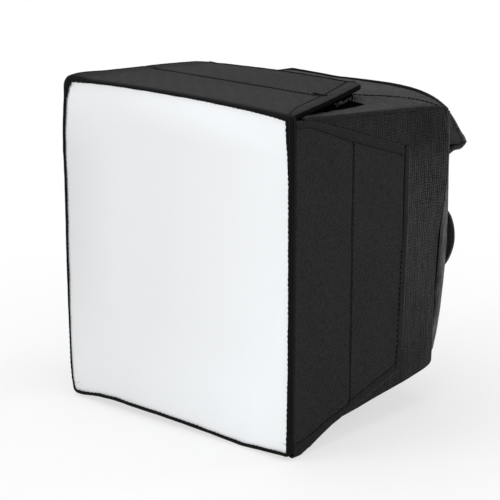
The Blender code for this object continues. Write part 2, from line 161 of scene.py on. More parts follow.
def surface(points, uv=None, loopRows=False, loopColumns=False):
    # quads over a grid of points
    rows, columns = points.shape[:2]
    if uv is None:
        spread = closed(points) if loopRows else points
        if loopColumns:
            spread = np.concatenate([spread, spread[:, :1]], 1)
        uv = join(*np.meshgrid(lengths(spread, 0), lengths(spread, 1), indexing="ij"))
    a, b = np.meshgrid(np.arange(rows - (not loopRows)), np.arange(columns - (not loopColumns)), indexing="ij")
    c, d = (a + 1) % rows, (b + 1) % columns
    quads = join(a * columns + b, c * columns + b, c * columns + d, a * columns + d)
    corners = np.stack([uv[a, b], uv[a + 1, b], uv[a + 1, b + 1], uv[a, b + 1]], -2)
    return points.reshape(-1, 3), quads.reshape(-1, 4), corners.reshape(-1, 4, 2)


def torus(points):
    # a grid closed in both directions
    return surface(points, None, True, True)


def withEnds(rings):
    # rings in a row, its ends closed by fans round their middles
    ends = [np.repeat(rings[k].mean(0)[None, None], rings.shape[1], 1) for k in (0, -1)]
    return np.concatenate([ends[0], rings, ends[1]])


def withStart(rings):
    # rings in a row, the first one closed by a fan round its middle
    return np.concatenate([np.repeat(rings[:1].mean(1, keepdims=True), rings.shape[1], 1), rings])


def capped(rings, uv=None):
    return surface(withEnds(rings), uv, False, True)


def shell(outer, inner, uv=None, loopColumns=False):
    # a closed sheet: the outer grid, the inner grid and the border between them
    top, under = surface(outer, uv, False, loopColumns), surface(inner, uv, False, loopColumns)
    size = len(top[0])
    index = np.arange(size).reshape(outer.shape[:2])
    place = np.zeros((size, 2))
    place[top[1].ravel()] = top[2].reshape(-1, 2)
    borders = [np.concatenate([index[:-1, 0], index[-1, :-1], index[:0:-1, -1], index[0, :0:-1]])]
    if loopColumns:
        borders = [index[0], index[-1]]
    quads, corners = [top[1], under[1][:, ::-1] + size], [top[2], under[2][:, ::-1]]
    for border in borders:
        after = np.roll(border, -1)
        quads.append(join(border, after, after + size, border + size))
        side = np.stack([place[border], place[after], place[after], place[border]], 1)
        side[:, 2:, 1] += box["sheet"]
        corners.append(side)
    return np.concatenate([top[0], under[0]]), np.concatenate(quads), np.concatenate(corners)


def tube(path, radius, sides=8, up=(0, 0, 1), squash=1.0):
    # a round cord along a path, of one radius or of one for each point, its ends closed
    along = unit(np.gradient(path, axis=0))
    side = unit(np.cross(along, np.broadcast_to(up, path.shape)))
    over = np.cross(side, along)
    turn = (np.arange(sides) * tau / sides)[:, None]
    radius = np.broadcast_to(radius, len(path))[:, None, None]
    return capped(path[:, None] + radius * (np.cos(turn) * side[:, None] + squash * np.sin(turn) * over[:, None]))


def bristles(rings, axes):
    # many short threads, each of a few rings with closed ends; axes give their place on the cloth
    count, stations, sides = rings.shape[:3]
    a, b = np.meshgrid(np.arange(stations - 1), np.arange(sides), indexing="ij")
    d = (b + 1) % sides
    quads = join(a * sides + b, (a + 1) * sides + b, (a + 1) * sides + d, a * sides + d).reshape(-1, 4)
    caps = [[end, end + k, end + k + 1, end + k + 2]
            for end in (0, (stations - 1) * sides) for k in range(1, sides - 1, 2)]
    first = np.arange(count) * stations * sides
    every = (np.concatenate([quads, caps])[None] + first[:, None, None]).reshape(-1, 4)
    points = rings.reshape(-1, 3)
    return points, every, points[every][..., axes]


def dashes(path, normal, length, gap, radius):
    # stitches: short threads along a path, each one arched, with ends that dip into the cloth
    run = lengths(path)
    count = max(1, int(run[-1] // (length + gap)))
    pitch = run[-1] / count
    at = (np.arange(count)[:, None] + 0.5) * pitch
    at = at + np.array([-0.5, -0.38, 0, 0.38, 0.5]) * min(length, pitch * 0.86)
    spots, out = [join(*[np.interp(at, run, line[:, k]) for k in range(3)])
                  for line in (path, np.broadcast_to(normal, path.shape))]
    out = unit(out)
    side = np.cross(unit(spots[:, -1:] - spots[:, :1]), out)
    lift = radius * np.array([-1.6, 0.1, 0.7, 0.1, -1.6])[:, None]
    thick = radius * np.array([0.25, 0.9, 1.0, 0.9, 0.25])[:, None]
    turn = np.arange(6) * tau / 6
    rings = spots[:, :, None] + out[:, :, None] * (lift + thick * np.sin(turn))[None, ..., None]
    return bristles(rings + side[:, :, None] * (thick * np.cos(turn))[None, ..., None], [1, 2])


def makePiece(name, patches, finish, bodyName, replaces=(), sharp=50):
    # one object from closed patches: a finish for each, the last one also for those left over
    finishes = [finish] if isinstance(finish, str) else finish
    used = list(dict.fromkeys(finishes))
    marks, start, quads = [], 0, []
    for k, (points, faces, _) in enumerate(patches):
        quads.append(faces + start)
        marks += [used.index(finishes[min(k, len(finishes) - 1)])] * len(faces)
        start += len(points)
    mesh = bpy.data.meshes.new(name)
    mesh.from_pydata(toFrame(np.concatenate([one[0] for one in patches])), [], np.concatenate(quads).tolist())
    places = np.concatenate([one[2] for one in patches])
    mesh.uv_layers.new(name="clothMap").data.foreach_set("uv", places.ravel().astype(np.float32))
    mesh.polygons.foreach_set("material_index", marks)
    for one in used:
        mesh.materials.append(materials[one])
    work = bmesh.new()
    work.from_mesh(mesh)
    bmesh.ops.remove_doubles(work, verts=work.verts, dist=1e-7)
    bmesh.ops.dissolve_degenerate(work, edges=work.edges, dist=1e-8)
    bmesh.ops.recalc_face_normals(work, faces=work.faces)
    work.to_mesh(mesh)
    work.free()
    mesh.polygons.foreach_set("use_smooth", np.ones(len(mesh.polygons), bool))
    mesh.set_sharp_from_angle(angle=math.radians(sharp))
    mesh.update()
    piece = bpy.data.objects.new(name, mesh)
    bpy.context.scene.collection.objects.link(piece)
    if bodyName:
        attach(piece, bodyName)
    if replaces:
        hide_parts(*replaces)
    return piece


def makeCloth(name, patches, finish, bodyName, node, slotName, restsOn, **facts):
    # a piece that is one sheet of cloth; its flat size and how it is held are given but not used
    piece = makePiece(name, patches, finish, bodyName, [node])
    return piece


def spanned(piece, spots):
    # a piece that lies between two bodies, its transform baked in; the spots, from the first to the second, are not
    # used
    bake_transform(piece)


# ---- finishes


materials = {}


def hexColour(text):
    # sRGB hex to linear
    values = [int(text[i : i + 2], 16) / 255 for i in (0, 2, 4)]
    return [v / 12.92 if v <= 0.04045 else ((v + 0.055) / 1.055) ** 2.4 for v in values] + [1]


def addNode(tree, kind, settings=None, inputs=None):
    node = tree.nodes.new("ShaderNode" + kind)
    for key, value in (settings or {}).items():
        setattr(node, key, value)
    for key, value in (inputs or {}).items():
        if isinstance(value, bpy.types.NodeSocket):
            tree.links.new(value, node.inputs[key])
        else:
            node.inputs[key].default_value = value
    return node


def newMaterial(name, values):
    materials[name] = material = bpy.data.materials.new(name)
    material.use_nodes = True
    shader = material.node_tree.nodes["Principled BSDF"]
    for key, value in values.items():
        shader.inputs[key].default_value = value
    return material.node_tree, shader


def maths(tree, how, *values, **settings):
    return addNode(tree, "Math", {"operation": how, **settings}, dict(enumerate(values))).outputs[0]


def plus(tree, value, share, base):
    # base + share * value
    return maths(tree, "MULTIPLY_ADD", value, share, base)


def mapped(tree, value, low, high, start=0.0, end=1.0, kind="LINEAR"):
    # a value between low and high as one between start and end
    return addNode(tree, "MapRange", {"interpolation_type": kind}, {
        "Value": value, "From Min": low, "From Max": high, "To Min": start, "To Max": end}).outputs[0]


def ramp(tree, value, stops):
    # a colour ramp: its first and its last stop, then any between them
    node = addNode(tree, "ValToRGB", None, {"Fac": value})
    for k, (place, colour) in enumerate(stops):
        stop = node.color_ramp.elements[k] if k < 2 else node.color_ramp.elements.new(place)
        stop.position, stop.color = place, colour
    return node.outputs["Color"]


def shades(tree, value, ends, colours):
    # from a dark to a light colour, with a third one where it is given
    stops = zip((0.0, 1.0, 0.45), map(hexColour, colours))
    return ramp(tree, mapped(tree, value, *ends), stops)


def noise(tree, place, size, detail, rough=0.5):
    return addNode(tree, "TexNoise", None, {
        "Vector": place, "Scale": 1 / size, "Detail": detail, "Roughness": rough}).outputs["Fac"]


def bands(tree, place, direction, pitch, wobble, detail=2.0):
    # a wave texture of scale 1 repeats every tau / 20
    return addNode(tree, "TexWave", {"bands_direction": direction}, {
        "Vector": place, "Scale": tau / 20 / pitch, "Distortion": wobble, "Detail": detail}).outputs["Fac"]


def scaled(tree, colour, share):
    return addNode(tree, "VectorMath", {"operation": "SCALE"}, {0: colour, 3: share}).outputs[0]


def finishWith(tree, shader, colour, height, strength, depth):
    # its colour, and its relief with a depth in mm
    tree.links.new(colour, shader.inputs["Base Color"])
    rise = addNode(tree, "Bump", None, {"Strength": strength, "Distance": depth * 0.001, "Height": height})
    tree.links.new(rise.outputs[0], shader.inputs["Normal"])


def wovenMaterial(name, shine, rib, cross, patch, ends, colours, relief, fuzz=0.4, tuft=0.0, shares=(0.5, 0.8, 0.5)):
    # Cloth of two crossing threads, on the piece's own map in mm: a diagonal rib, a finer cross rib
    # and slow patches of wear, which also lighten the colour. shine is roughness, sheen and
    # specular level; rib its turn in degrees, pitch and wobble; cross, patch and fuzz are sizes;
    # shares are those of wear and fuzz in the colour, and of fuzz in the relief.
    tree, shader = newMaterial(name, dict(zip(("Roughness", "Sheen Weight", "Specular IOR Level"), shine)))
    place = addNode(tree, "TexCoord").outputs["UV"]
    turned = addNode(tree, "Mapping", None, {"Vector": place, "Rotation": (0, 0, math.radians(rib[0]))})
    ribs = bands(tree, turned.outputs[0], "X", *rib[1:])
    threads = maths(tree, "MULTIPLY", ribs, bands(tree, place, "Y", cross, 0.6, 1.0))
    mixed = plus(tree, ribs, 0.6, threads)
    pile = noise(tree, place, fuzz, 3.0, 0.7)
    wear = noise(tree, place, patch, 4.0, 0.6)
    tufts = noise(tree, place, 2.4, 3.0, 0.85)
    height = plus(tree, pile, shares[2], plus(tree, tufts, tuft * 1.6, mixed))
    grain = plus(tree, pile, shares[1], plus(tree, wear, shares[0], mixed))
    grain = plus(tree, tufts, tuft, grain)
    finishWith(tree, shader, shades(tree, grain, ends, colours), height, *relief)


# Polyester panel cloth, woven with a fine cross rib and lightly brushed: matt black, its ribs catch
# the light one by one. Real ribs are 0.5 mm apart; they are drawn at 1.1 mm to show.
wovenMaterial("wovenPolyester", (0.85, 0.02, 0.11), (84, 1.1, 1.6), 1.0, 22, (1.35, 2.65), ("080808", "2F2F30"),
              (0.8, 0.24), fuzz=0.5, tuft=1.9)
# The panel cloth again where it is folded over the edges: its ribs run along the hem, worn paler.
wovenMaterial("foldedHemTape", (0.85, 0.02, 0.1), (35, 0.95, 1.0), 0.9, 18, (1.4, 2.75), ("0B0B0B", "2D2D2E"),
              (0.6, 0.16), tuft=1.6)
# A nearly black copy of it, painted shade: its shaded outer side on the top flap, and dark folds in shade.
wovenMaterial("hemTapePaintedShade", (0.95, 0.0, 0.03), (35, 0.95, 1.0), 0.9, 18, (0.6, 2.0), ("020202", "0B0A0A"),
              (0.4, 0.1))
# Polyester binding tape, plain woven with cross ribs: the blackest part, slightly glossy on its fold.
wovenMaterial("ribbedTape", (0.8, 0.0, 0.08), (90, 0.9, 0.5), 0.9, 10, (0.4, 1.8), ("060606", "161617"),
              (0.5, 0.12), fuzz=0.5, shares=(0.3, 0.6, 0.5))
# Rubber-cored elastic, ribbed weave: close ribs across the stretch, satin on their crowns.
wovenMaterial("ribbedElastic", (0.62, 0.05, 0.4), (90, 1.2, 0.3), 0.8, 14, (0.3, 1.7), ("0E0E0F", "26272A"),
              (0.7, 0.2), shares=(0.25, 0.4, 0.3))
# Nylon hook tape, moulded hooks on a woven base: dark and dry.
wovenMaterial("mouldedHookTape", (1.0, 0.0, 0.0), (45, 1.0, 1.0), 1.0, 8, (0.3, 1.8), ("020202", "080808"),
              (0.6, 0.15), shares=(0.2, 0.8, 0.6))
# Spun polyester sewing thread, dyed black: the rows of stitches read as dark dotted lines.
wovenMaterial("spunThread", (0.7, 0.0, 0.06), (45, 0.4, 0.5), 0.4, 3, (0.3, 1.8), ("030303", "0C0C0D"),
              (0.3, 0.05), fuzz=0.3, shares=(0.5, 0.5, 0.3))
# The same thread spun finer, painted pale and glossy: painted highlights, small pale glints along the seams.
wovenMaterial("polishedThread", (0.4, 0.1, 0.5), (45, 0.4, 0.5), 0.4, 3, (0.5, 1.9), ("2A2A2A", "8A8C8E"),
              (0.3, 0.05), fuzz=0.3, shares=(0.9, 0.6, 0.3))


def loopMaterial(name, colours, knit, paintedShadeByHeight, lean=None):
    # Nylon loop cloth, knitted and brushed: a fuzzy pile, paler than the panels. Its stitches show as
    # small dots in upright columns and single loops catch the light; slow streaks run down it where
    # the pile lies over. Stitches are 0.7 mm apart in the real cloth and 1.5 mm here. On the side
    # faces its tone is scaled with height, painted shade and painted light: the fourth argument is a
    # share for each height, the lowest and the highest first. lean adds a slope of painted shade: a
    # direction, where it starts and ends along it, and both shares.
    tree, shader = newMaterial(name, {
        "Roughness": 0.92, "Sheen Weight": 0.06, "Sheen Roughness": 0.4, "Specular IOR Level": 0.1})
    spot = addNode(tree, "TexCoord")
    place = spot.outputs["UV"]
    warp = addNode(tree, "TexNoise", None, {"Vector": place, "Scale": 1 / 3.0, "Detail": 2.0})
    bend = addNode(tree, "VectorMath", {"operation": "MULTIPLY_ADD"},
                   {0: warp.outputs["Color"], 1: (1.6, 2.4, 0), 2: place})
    columns, rows = [bands(tree, bend.outputs[0], way, 1.5, 0.5, 1.0) for way in "XY"]
    stitches = maths(tree, "MULTIPLY", plus(tree, columns, 0.3, maths(tree, "MULTIPLY", columns, rows)), knit)
    upright = addNode(tree, "Mapping", None, {"Vector": place, "Scale": (1 / 1.1, 1 / 7.0, 1)})
    streaks = noise(tree, upright.outputs[0], 1.0, 3.0, 0.6)
    fuzz = noise(tree, place, 0.55, 3.0, 0.75)
    lines = plus(tree, streaks, 1.3, plus(tree, fuzz, 1.7, stitches))
    total = plus(tree, noise(tree, place, 24, 3.0), 0.5, lines)
    # painted shade and light with height, on the side faces only
    apart = addNode(tree, "SeparateXYZ", None, {0: spot.outputs["Object"]})
    side = mapped(tree, maths(tree, "ABSOLUTE", apart.outputs["X"]), 0.0715, 0.0738)
    up = mapped(tree, apart.outputs["Z"], 0.0, 0.17)
    share = ramp(tree, up, [(z / 0.17, (share, share, share, 1)) for z, share in paintedShadeByHeight.items()])
    blend = addNode(tree, "Mix", {"data_type": "FLOAT"}, {"Factor": side, "A": 1.0, "B": share})
    tone = scaled(tree, shades(tree, total, (1.5, 2.75), colours), blend.outputs[0])
    if lean:
        along = addNode(tree, "VectorMath", {"operation": "DOT_PRODUCT"}, {0: spot.outputs["Object"], 1: lean[0]})
        tone = scaled(tree, tone, mapped(tree, along.outputs["Value"], *lean[1:]))
    finishWith(tree, shader, tone, lines, 0.6, 0.22)


# on the side faces, painted shade: darkest near the bottom and the top, lightest at middle height
loopMaterial("brushedNylonLoop", ("060606", "4E4E4F"), 0.85, {
    0.0: 0.4, 0.17: 0.4, 0.022: 0.46, 0.04: 0.6, 0.065: 0.78, 0.09: 0.9, 0.113: 0.9, 0.128: 0.78, 0.142: 0.42})
# The same cloth along an edge, painted pale: painted rim light, brightest at middle height and towards the back.
loopMaterial("wornPileEdge", ("3C3C3C", "D0D1D1"), 0.1, {
    0.0: 0.2, 0.17: 0.15, 0.03: 0.3, 0.05: 0.5, 0.07: 0.8, 0.09: 1.0, 0.11: 0.75, 0.122: 0.35},
             ((0, 1, 0), 0.0462, 0.0526, 0.22, 1.1))
# The same cloth on the hood with painted shade, dark above its hem and lighter towards its rim; its turned hem and rim
# painted pale, painted light, shaded towards the hem's root.
loopMaterial("brushedHoodLoop", ("0A0A0A", "4A4A4B"), 0.6, {0.0: 1.0, 0.17: 1.0}, ((0, 1, 1), 0.184, 0.199, 0.12, 1.1))
loopMaterial("hoodHemPaintedLight", ("242424", "8E8F90"), 0.3, {0.0: 1.0, 0.17: 1.0}, ((0, 1, 0), 0.053, 0.068, 0.7, 1.0))
# A rubbed cord of the panel cloth along its sewn edges, paler than the cloth: partly wear, partly painted highlight
# where edges catch the light; on the side faces darker low down, painted shade.
loopMaterial("rubbedCordAndHighlight", ("3A3A3B", "808184"), 0.1, {0.0: 0.5, 0.17: 1.0, 0.03: 0.6, 0.06: 0.9})


def diffuserMaterial():
    # White nylon, close plain weave, calendered: bright and even, with painted light, lighter and
    # bluer towards the right and at the top and the bottom, and painted shade greyer along the left,
    # where the wall behind it is close. Threads are 0.25 mm apart in the real cloth and 0.9 mm here.
    tree, shader = newMaterial(
        "calenderedWhiteNylon", {"Roughness": 0.5, "Sheen Weight": 0.1, "Specular IOR Level": 0.3})
    spot = addNode(tree, "TexCoord")
    place = spot.outputs["UV"]
    apart = addNode(tree, "SeparateXYZ", None, {0: spot.outputs["Object"]})
    x, z = apart.outputs["X"], apart.outputs["Z"]

    def soft(value, *ends):
        return mapped(tree, value, *ends, "SMOOTHSTEP")

    # painted light: the colour runs lighter and bluer to the right and at the top and the bottom
    lean = plus(tree, mapped(tree, z, 0.0, 0.17), -0.1, mapped(tree, x, -0.075, 0.075))
    ends = maths(tree, "ADD", soft(z, 0.146, 0.166, 0.0, 0.36), soft(z, 0.02, 0.06, 0.12, 0.0))
    toneAndPaintedLight = plus(tree, noise(tree, place, 70, 3.0), 0.15, maths(tree, "ADD", ends, lean))
    colour = shades(tree, toneAndPaintedLight, (-0.02, 1.02), ("E6E7E8", "FAFDFF", "EAECED"))
    # a painted shade strip: strongest at the left edge, gone a third of the way across, and at top and bottom
    band = maths(tree, "MULTIPLY", soft(z, 0.125, 0.162, 1.0, 0.0), soft(z, 0.0, 0.085, 0.0, 1.0))
    shade = maths(tree, "MULTIPLY", band, soft(x, -0.084, -0.036, 1.0, 0.0))
    threads = maths(tree, "ADD", *[bands(tree, place, way, 0.9, 0.3) for way in "XY"])
    finishWith(tree, shader, scaled(tree, colour, plus(tree, shade, -0.11, 1.0)), threads, 0.12, 0.05)


def liningMaterial():
    # Aluminium-coated polyester, laminated: bright satin silver with fine creases from folding.
    tree, shader = newMaterial("aluminisedPolyester", {"Metallic": 0.85, "Roughness": 0.38})
    place = addNode(tree, "TexCoord").outputs["UV"]
    crease = addNode(tree, "TexVoronoi", {"feature": "DISTANCE_TO_EDGE"}, {"Vector": place, "Scale": 1 / 9})
    fine = noise(tree, place, 1.2, 4.0)
    total = plus(tree, fine, 0.6, mapped(tree, crease.outputs[0], 0.0, 0.12))
    tree.links.new(mapped(tree, fine, 0.0, 1.0, 0.3, 0.5), shader.inputs["Roughness"])
    finishWith(tree, shader, shades(tree, total, (0.2, 1.5), ("A9ABAE", "C9CBCE")), total, 0.4, 0.15)


def boardMaterial():
    # Polypropylene sheet, extruded: waxy buff plastic with faint lines from the die.
    tree, shader = newMaterial("extrudedPolypropylene", {"Roughness": 0.5, "IOR": 1.49})
    lines = bands(tree, addNode(tree, "TexCoord").outputs["Object"], "Z", 0.002, 1.0)
    finishWith(tree, shader, shades(tree, lines, (0.0, 1.0), ("8A8174", "978E80")), lines, 0.2, 0.1)


diffuserMaterial()
liningMaterial()
boardMaterial()
for node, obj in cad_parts.items():
    if node.endswith("_board"):
        obj.data.materials.clear()
        obj.data.materials.append(materials["extrudedPolypropylene"])
print("stage: finishes made")


# ---- the walls: y back from the face, s across the wall, w inwards from its outer face


def sideLow(y):
    return np.maximum(3.6, 0.4 + 0.265 * (y - box["frontFold"]))


def sideHigh(y):
    return np.minimum(166.4, 169.6 - 0.348 * (y - box["frontFold"]))


def flapTaper(y):
    return 74.0 - 0.26 * y


def flapEdge(y):
    # straight taper, with round corners at the rear
    rear = np.clip((y - (box["flapEnd"] - 5.0)) / 5.0, 0, 1)
    return flapTaper(y) - 4.0 * (1 - np.sqrt(1 - rear**2 * 0.98))


# the top and bottom flaps reach further out on the left
leftWide = curve([0, 20, 59, 68, 76, 80, 84], [4.2, 3.4, 3.3, 2.9, 2.0, 1.1, 0.7])
# how far the front edge stands out on the left, by height
frontSpread = curve([0, 4, 8, 16, 25, 35, 44, 53, 70, 97, 114, 131, 140, 148, 157, 165, 170],
                    [0.7, 1.4, 2.2, 2.9, 3.1, 3.6, 3.9, 4.2, 4.6, 4.8, 4.9, 5.5, 5.5, 5.1, 4.4, 4.1, 3.1])
# the bottom front edge: down at the right, up at the left
bottomWave = curve([-75, -69, -57, -45, -33, -10, 12, 28, 44, 60, 75],
                   [-1.7, -1.6, 0.2, 0.65, 0.25, -0.1, -0.8, -1.55, -2.4, -1.5, -0.9])
# the top flap's rear edge: low at the left corner, high in the middle
rearWave = curve([-52, -46, -40, -36, -26, -16, -6, 12, 35, 60],
                 [-0.2, -0.4, 0.05, 0.15, 0.5, 0.85, 1.1, 1.3, 1.2, 0.6])
# how far the top flap's left edge is lifted, from front to rear
leftLift = curve([3, 8, 14, 22, 35, 60, 76, 84], [0.7, 1.4, 1.4, 1.0, 0.85, 0.8, 0.65, 0.0])
# how far the panel's rear seam runs forward low down
rearTaper = curve([20, 38, 103], [4.0, 2.8, 0.0])

walls = {
    "right": {"low": sideLow, "high": sideHigh, "out": (1, 0, 0), "place": lambda y, s, w: (half - w, y, s)},
    "left": {"low": sideLow, "high": sideHigh, "out": (-1, 0, 0), "place": lambda y, s, w: (w - half, y, s)},
    "top": {"low": lambda y: -flapEdge(y) - leftWide(y), "high": flapEdge, "out": (0, 0, 1),
            "place": lambda y, s, w: (s, y, tall - w)},
    "bottom": {"low": lambda y: -flapEdge(y) - leftWide(y) / 2, "high": flapEdge, "out": (0, 0, -1),
               "place": lambda y, s, w: (s, y, w)},
}
flaps = ("top", "bottom")
frontBow = {"top": 1.6, "reach": 40.0}  # of the top front edge, up in the middle
panel = {
    "edgeRoll": 1.5,
    "seamDepth": 0.4,
    "seamWidth": 0.36,
    "hemDrop": 0.34,  # of the cloth under the hem tape
    "pucker": 0.12,
    "stitchPitch": 2.6,
    "stitchLength": 1.75,
    "stitchRadius": 0.16,
    "flapRearSeam": 1.0,
    "flapEdgeRise": 0.7,  # of the top flap's edges, which curl up
    "liningInset": 4.4,
    "step": 1.5,
}


def seamInset(wall, y, which):
    # from the panel's edge in to its sewn line: the hem tape is wider in places
    if wall not in flaps and which == "high":
        return np.interp(y, [4, 15, 43, 73, 90], [2.6, 3.6, 4.5, 4.1, 3.4])
    if wall not in flaps:
        return np.interp(y, [4, 8, 15, 29, 46.5, 47.6, 90], [1.4, 1.6, 3.0, 3.8, 3.3, 4.4, 4.2])
    if wall == "top" and which == "high":
        return np.interp(y, [4, 10, 20, 30, 84], [2.4, 4.6, 6.4, 6.9, 9.3])
    return (1.9 if wall == "top" else 3.5) + 0 * y


def hemReach(wall, y, which):
    # how far the hem tape stands out past the panel's edge
    if wall in flaps:
        return 0.3 + 0 * y
    if which == "high":
        return np.interp(y, [8, 25, 43, 73, 90], [0.1, 0.5, 1.0, 1.3, 1.4])
    return np.interp(y, [4, 9, 15, 21.5, 28, 35, 44.6, 48, 60, 90], [5.6, 5.6, 3.7, 2.5, 1.7, 1.1, 1.1, 1.1, 0.7, 0.5])


def wallPoint(wall, y, s, w):
    return join(*walls[wall]["place"](y, s, w))


def bowed(wall, y, s):
    # how far a wall's outer face stands out: with the bowed front edge, at a flap's rear edge and at
    # its curled sides
    if wall == "right":
        return np.zeros(np.broadcast(y, s).shape)
    if wall == "left":
        return frontSpread(s) * (1 - smooth(2, 62, y))
    across = 1 - (s / half) ** 2
    atFront = 1 - smooth(0, frontBow["reach"], y)
    if wall == "bottom":
        return -bottomWave(s) * atFront
    right = (flapEdge(y) - s) + 50 * (s < 0)
    curl = panel["flapEdgeRise"] * smooth(5, 80, y) * (1 - smooth(1.0, 8.0, right))
    lift = leftLift(y) * (1 - smooth(1.0, 9.0, s - walls["top"]["low"](y)))
    rear = 0.3 * across * (1 - smooth(48, 83, y)) + rearWave(s) * smooth(48, 83, y)
    return across * frontBow["top"] * atFront + rear * (1 - atFront) + curl + lift


class Strip:
    # one boarded strip of a wall: its ends, which of them are free, and its two faces

    def __init__(self, wall, part):
        self.wall, self.part = wall, part
        self.start, self.end = box["frontFold"] - 1.12, middle - 0.3
        self.rim, self.pocket = (5.12, 2.1), (8.62, 5.6)
        if part == "rear":
            self.start, self.end = middle + 0.3, box["flapEnd" if wall in flaps else "rearFold"] - 0.2
            self.rim, self.pocket = (2.1, 2.1), (5.6, 5.6)
        self.freeEnd = wall in flaps and part == "rear"
        self.seed = sum(map(ord, wall + part))
        self.low, self.high = walls[wall]["low"], walls[wall]["high"]

    def distances(self, y, s):
        return s - self.low(y), self.high(y) - s, y - self.start, self.end - y

    def thickness(self, begin, finish, side):
        # a single cloth at the folds, the whole wall elsewhere; the top flap is pressed thin along
        # its sides
        flat = smooth(self.rim[0] - 0.5, self.rim[0] + 0.3, begin)
        if not self.freeEnd:
            flat = flat * smooth(self.rim[1] - 0.5, self.rim[1] + 0.3, finish)
        pressed = 0.62 + 0.38 * smooth(2.2, 4.0, side) if self.wall == "top" else 1
        return (box["sheet"] + (box["wall"] - box["sheet"]) * flat) * pressed

    def outer(self, y, s):
        low, high, begin, finish = self.distances(y, s)
        side = np.minimum(low, high)
        flat = self.thickness(begin, finish, side)
        depth = flat / 2 * roll(side, panel["edgeRoll"])
        inset = np.where(low < high, seamInset(self.wall, y, "low"), seamInset(self.wall, y, "high"))
        seams = [(side, inset, y)]
        fold = np.minimum(begin, finish)
        if self.freeEnd:
            depth = depth + flat / 2 * roll(finish, 0.9)
            seams.append((finish, panel["flapRearSeam"], s))
            fold = begin
        depth = depth + panel["hemDrop"] * (1 - smooth(inset - 0.2, inset + 0.5, side))
        for distance, at, along in seams:
            pinch = 0.75 + 0.25 * wave(along, panel["stitchPitch"], tau / 4)
            depth = depth + panel["seamDepth"] * pinch * bump(distance, at, panel["seamWidth"])
            depth = depth + panel["pucker"] * wave(along, panel["stitchPitch"], 1.0) * bump(distance, at + 1.0, 0.9)
        depth = depth + (0.42 if self.part == "rear" else 0.2) * bump(fold, 0, 0.42)
        if self.part == "rear":
            depth = depth - 0.16 * bump(begin, 0.85, 0.4)  # a ridge beside the fold seam
        depth = depth + 0.16 * wander(y, s, 34, self.seed) * smooth(2, 8, side)
        return depth + 0.06 * wander(y, s, 6, self.seed + 1) - bowed(self.wall, y, s)

    def inner(self, y, s):
        low, high, begin, finish = self.distances(y, s)
        side = np.minimum(low, high)
        free = np.minimum(side, finish) if self.freeEnd else side
        flat = self.thickness(begin, finish, side)
        pocket = (side > 4.03) & (begin > self.pocket[0] + 0.03) & (finish > self.pocket[1] + 0.03)
        far = smooth(3.0, 4.0, side) * smooth(4.4, 5.0, begin) * (smooth(3.0, 4.4, finish) if self.freeEnd else 1)
        depth = flat - flat / 2 * roll(free, panel["edgeRoll"]) - bowed(self.wall, y, s) * (1 - far)
        return np.where(pocket, box["sheet"] + 0.02, depth)

    def grid(self):
        side = [0, 0.1, 0.25, 0.5, 0.85, 1.25, 1.7, 2.2, 2.6, 2.95, 3.25, 3.55, 3.85, 3.99, 4.08, 4.35, 4.65,
                5.0, 5.4, 5.9, 6.4, 7.0, 7.6, 8.3, 9.0]
        first = [0, 0.12, 0.3, 0.5, 0.7, 0.95, 1.25, 1.7, 2.4, 3.3, 4.2, 5.0, 8.6, 8.7]
        if self.part == "rear":
            first = [0, 0.12, 0.3, 0.5, 0.7, 0.95, 1.25, 1.6, 1.9, 2.4, 3.2, 4.2, 5.0, 5.58, 5.68]
        last = [0, 0.12, 0.3, 0.5, 0.75, 1.0, 1.3, 1.65, 2.0, 2.6, 3.2, 4.1, 5.0, 5.58, 5.68]
        y = ticks(self.start, self.end, first, panel["step"], last)
        low, high = self.low(y), self.high(y)
        s = spaced(low, high, side, side, round((high - low).mean() / panel["step"]))
        return np.broadcast_to(y[:, None], s.shape), s

    def line(self, kind):
        # the path of one sewn line on the outer face
        if kind in ("low", "high"):
            y = np.linspace(self.start + 0.6, self.end - 0.6, 60)
            inset = seamInset(self.wall, y, kind)
            s = self.low(y) + inset if kind == "low" else self.high(y) - inset
        else:
            rear = self.end - panel["flapRearSeam"]
            at, row, inset = (self.start, self.start + 0.85, 5.2) if kind == "fold" else (rear, rear, 7.5)
            s = np.linspace(self.low(at) + inset, self.high(at) - inset, 120)
            y = np.full_like(s, row)
        return wallPoint(self.wall, y, s, self.outer(y, s) - 0.02)


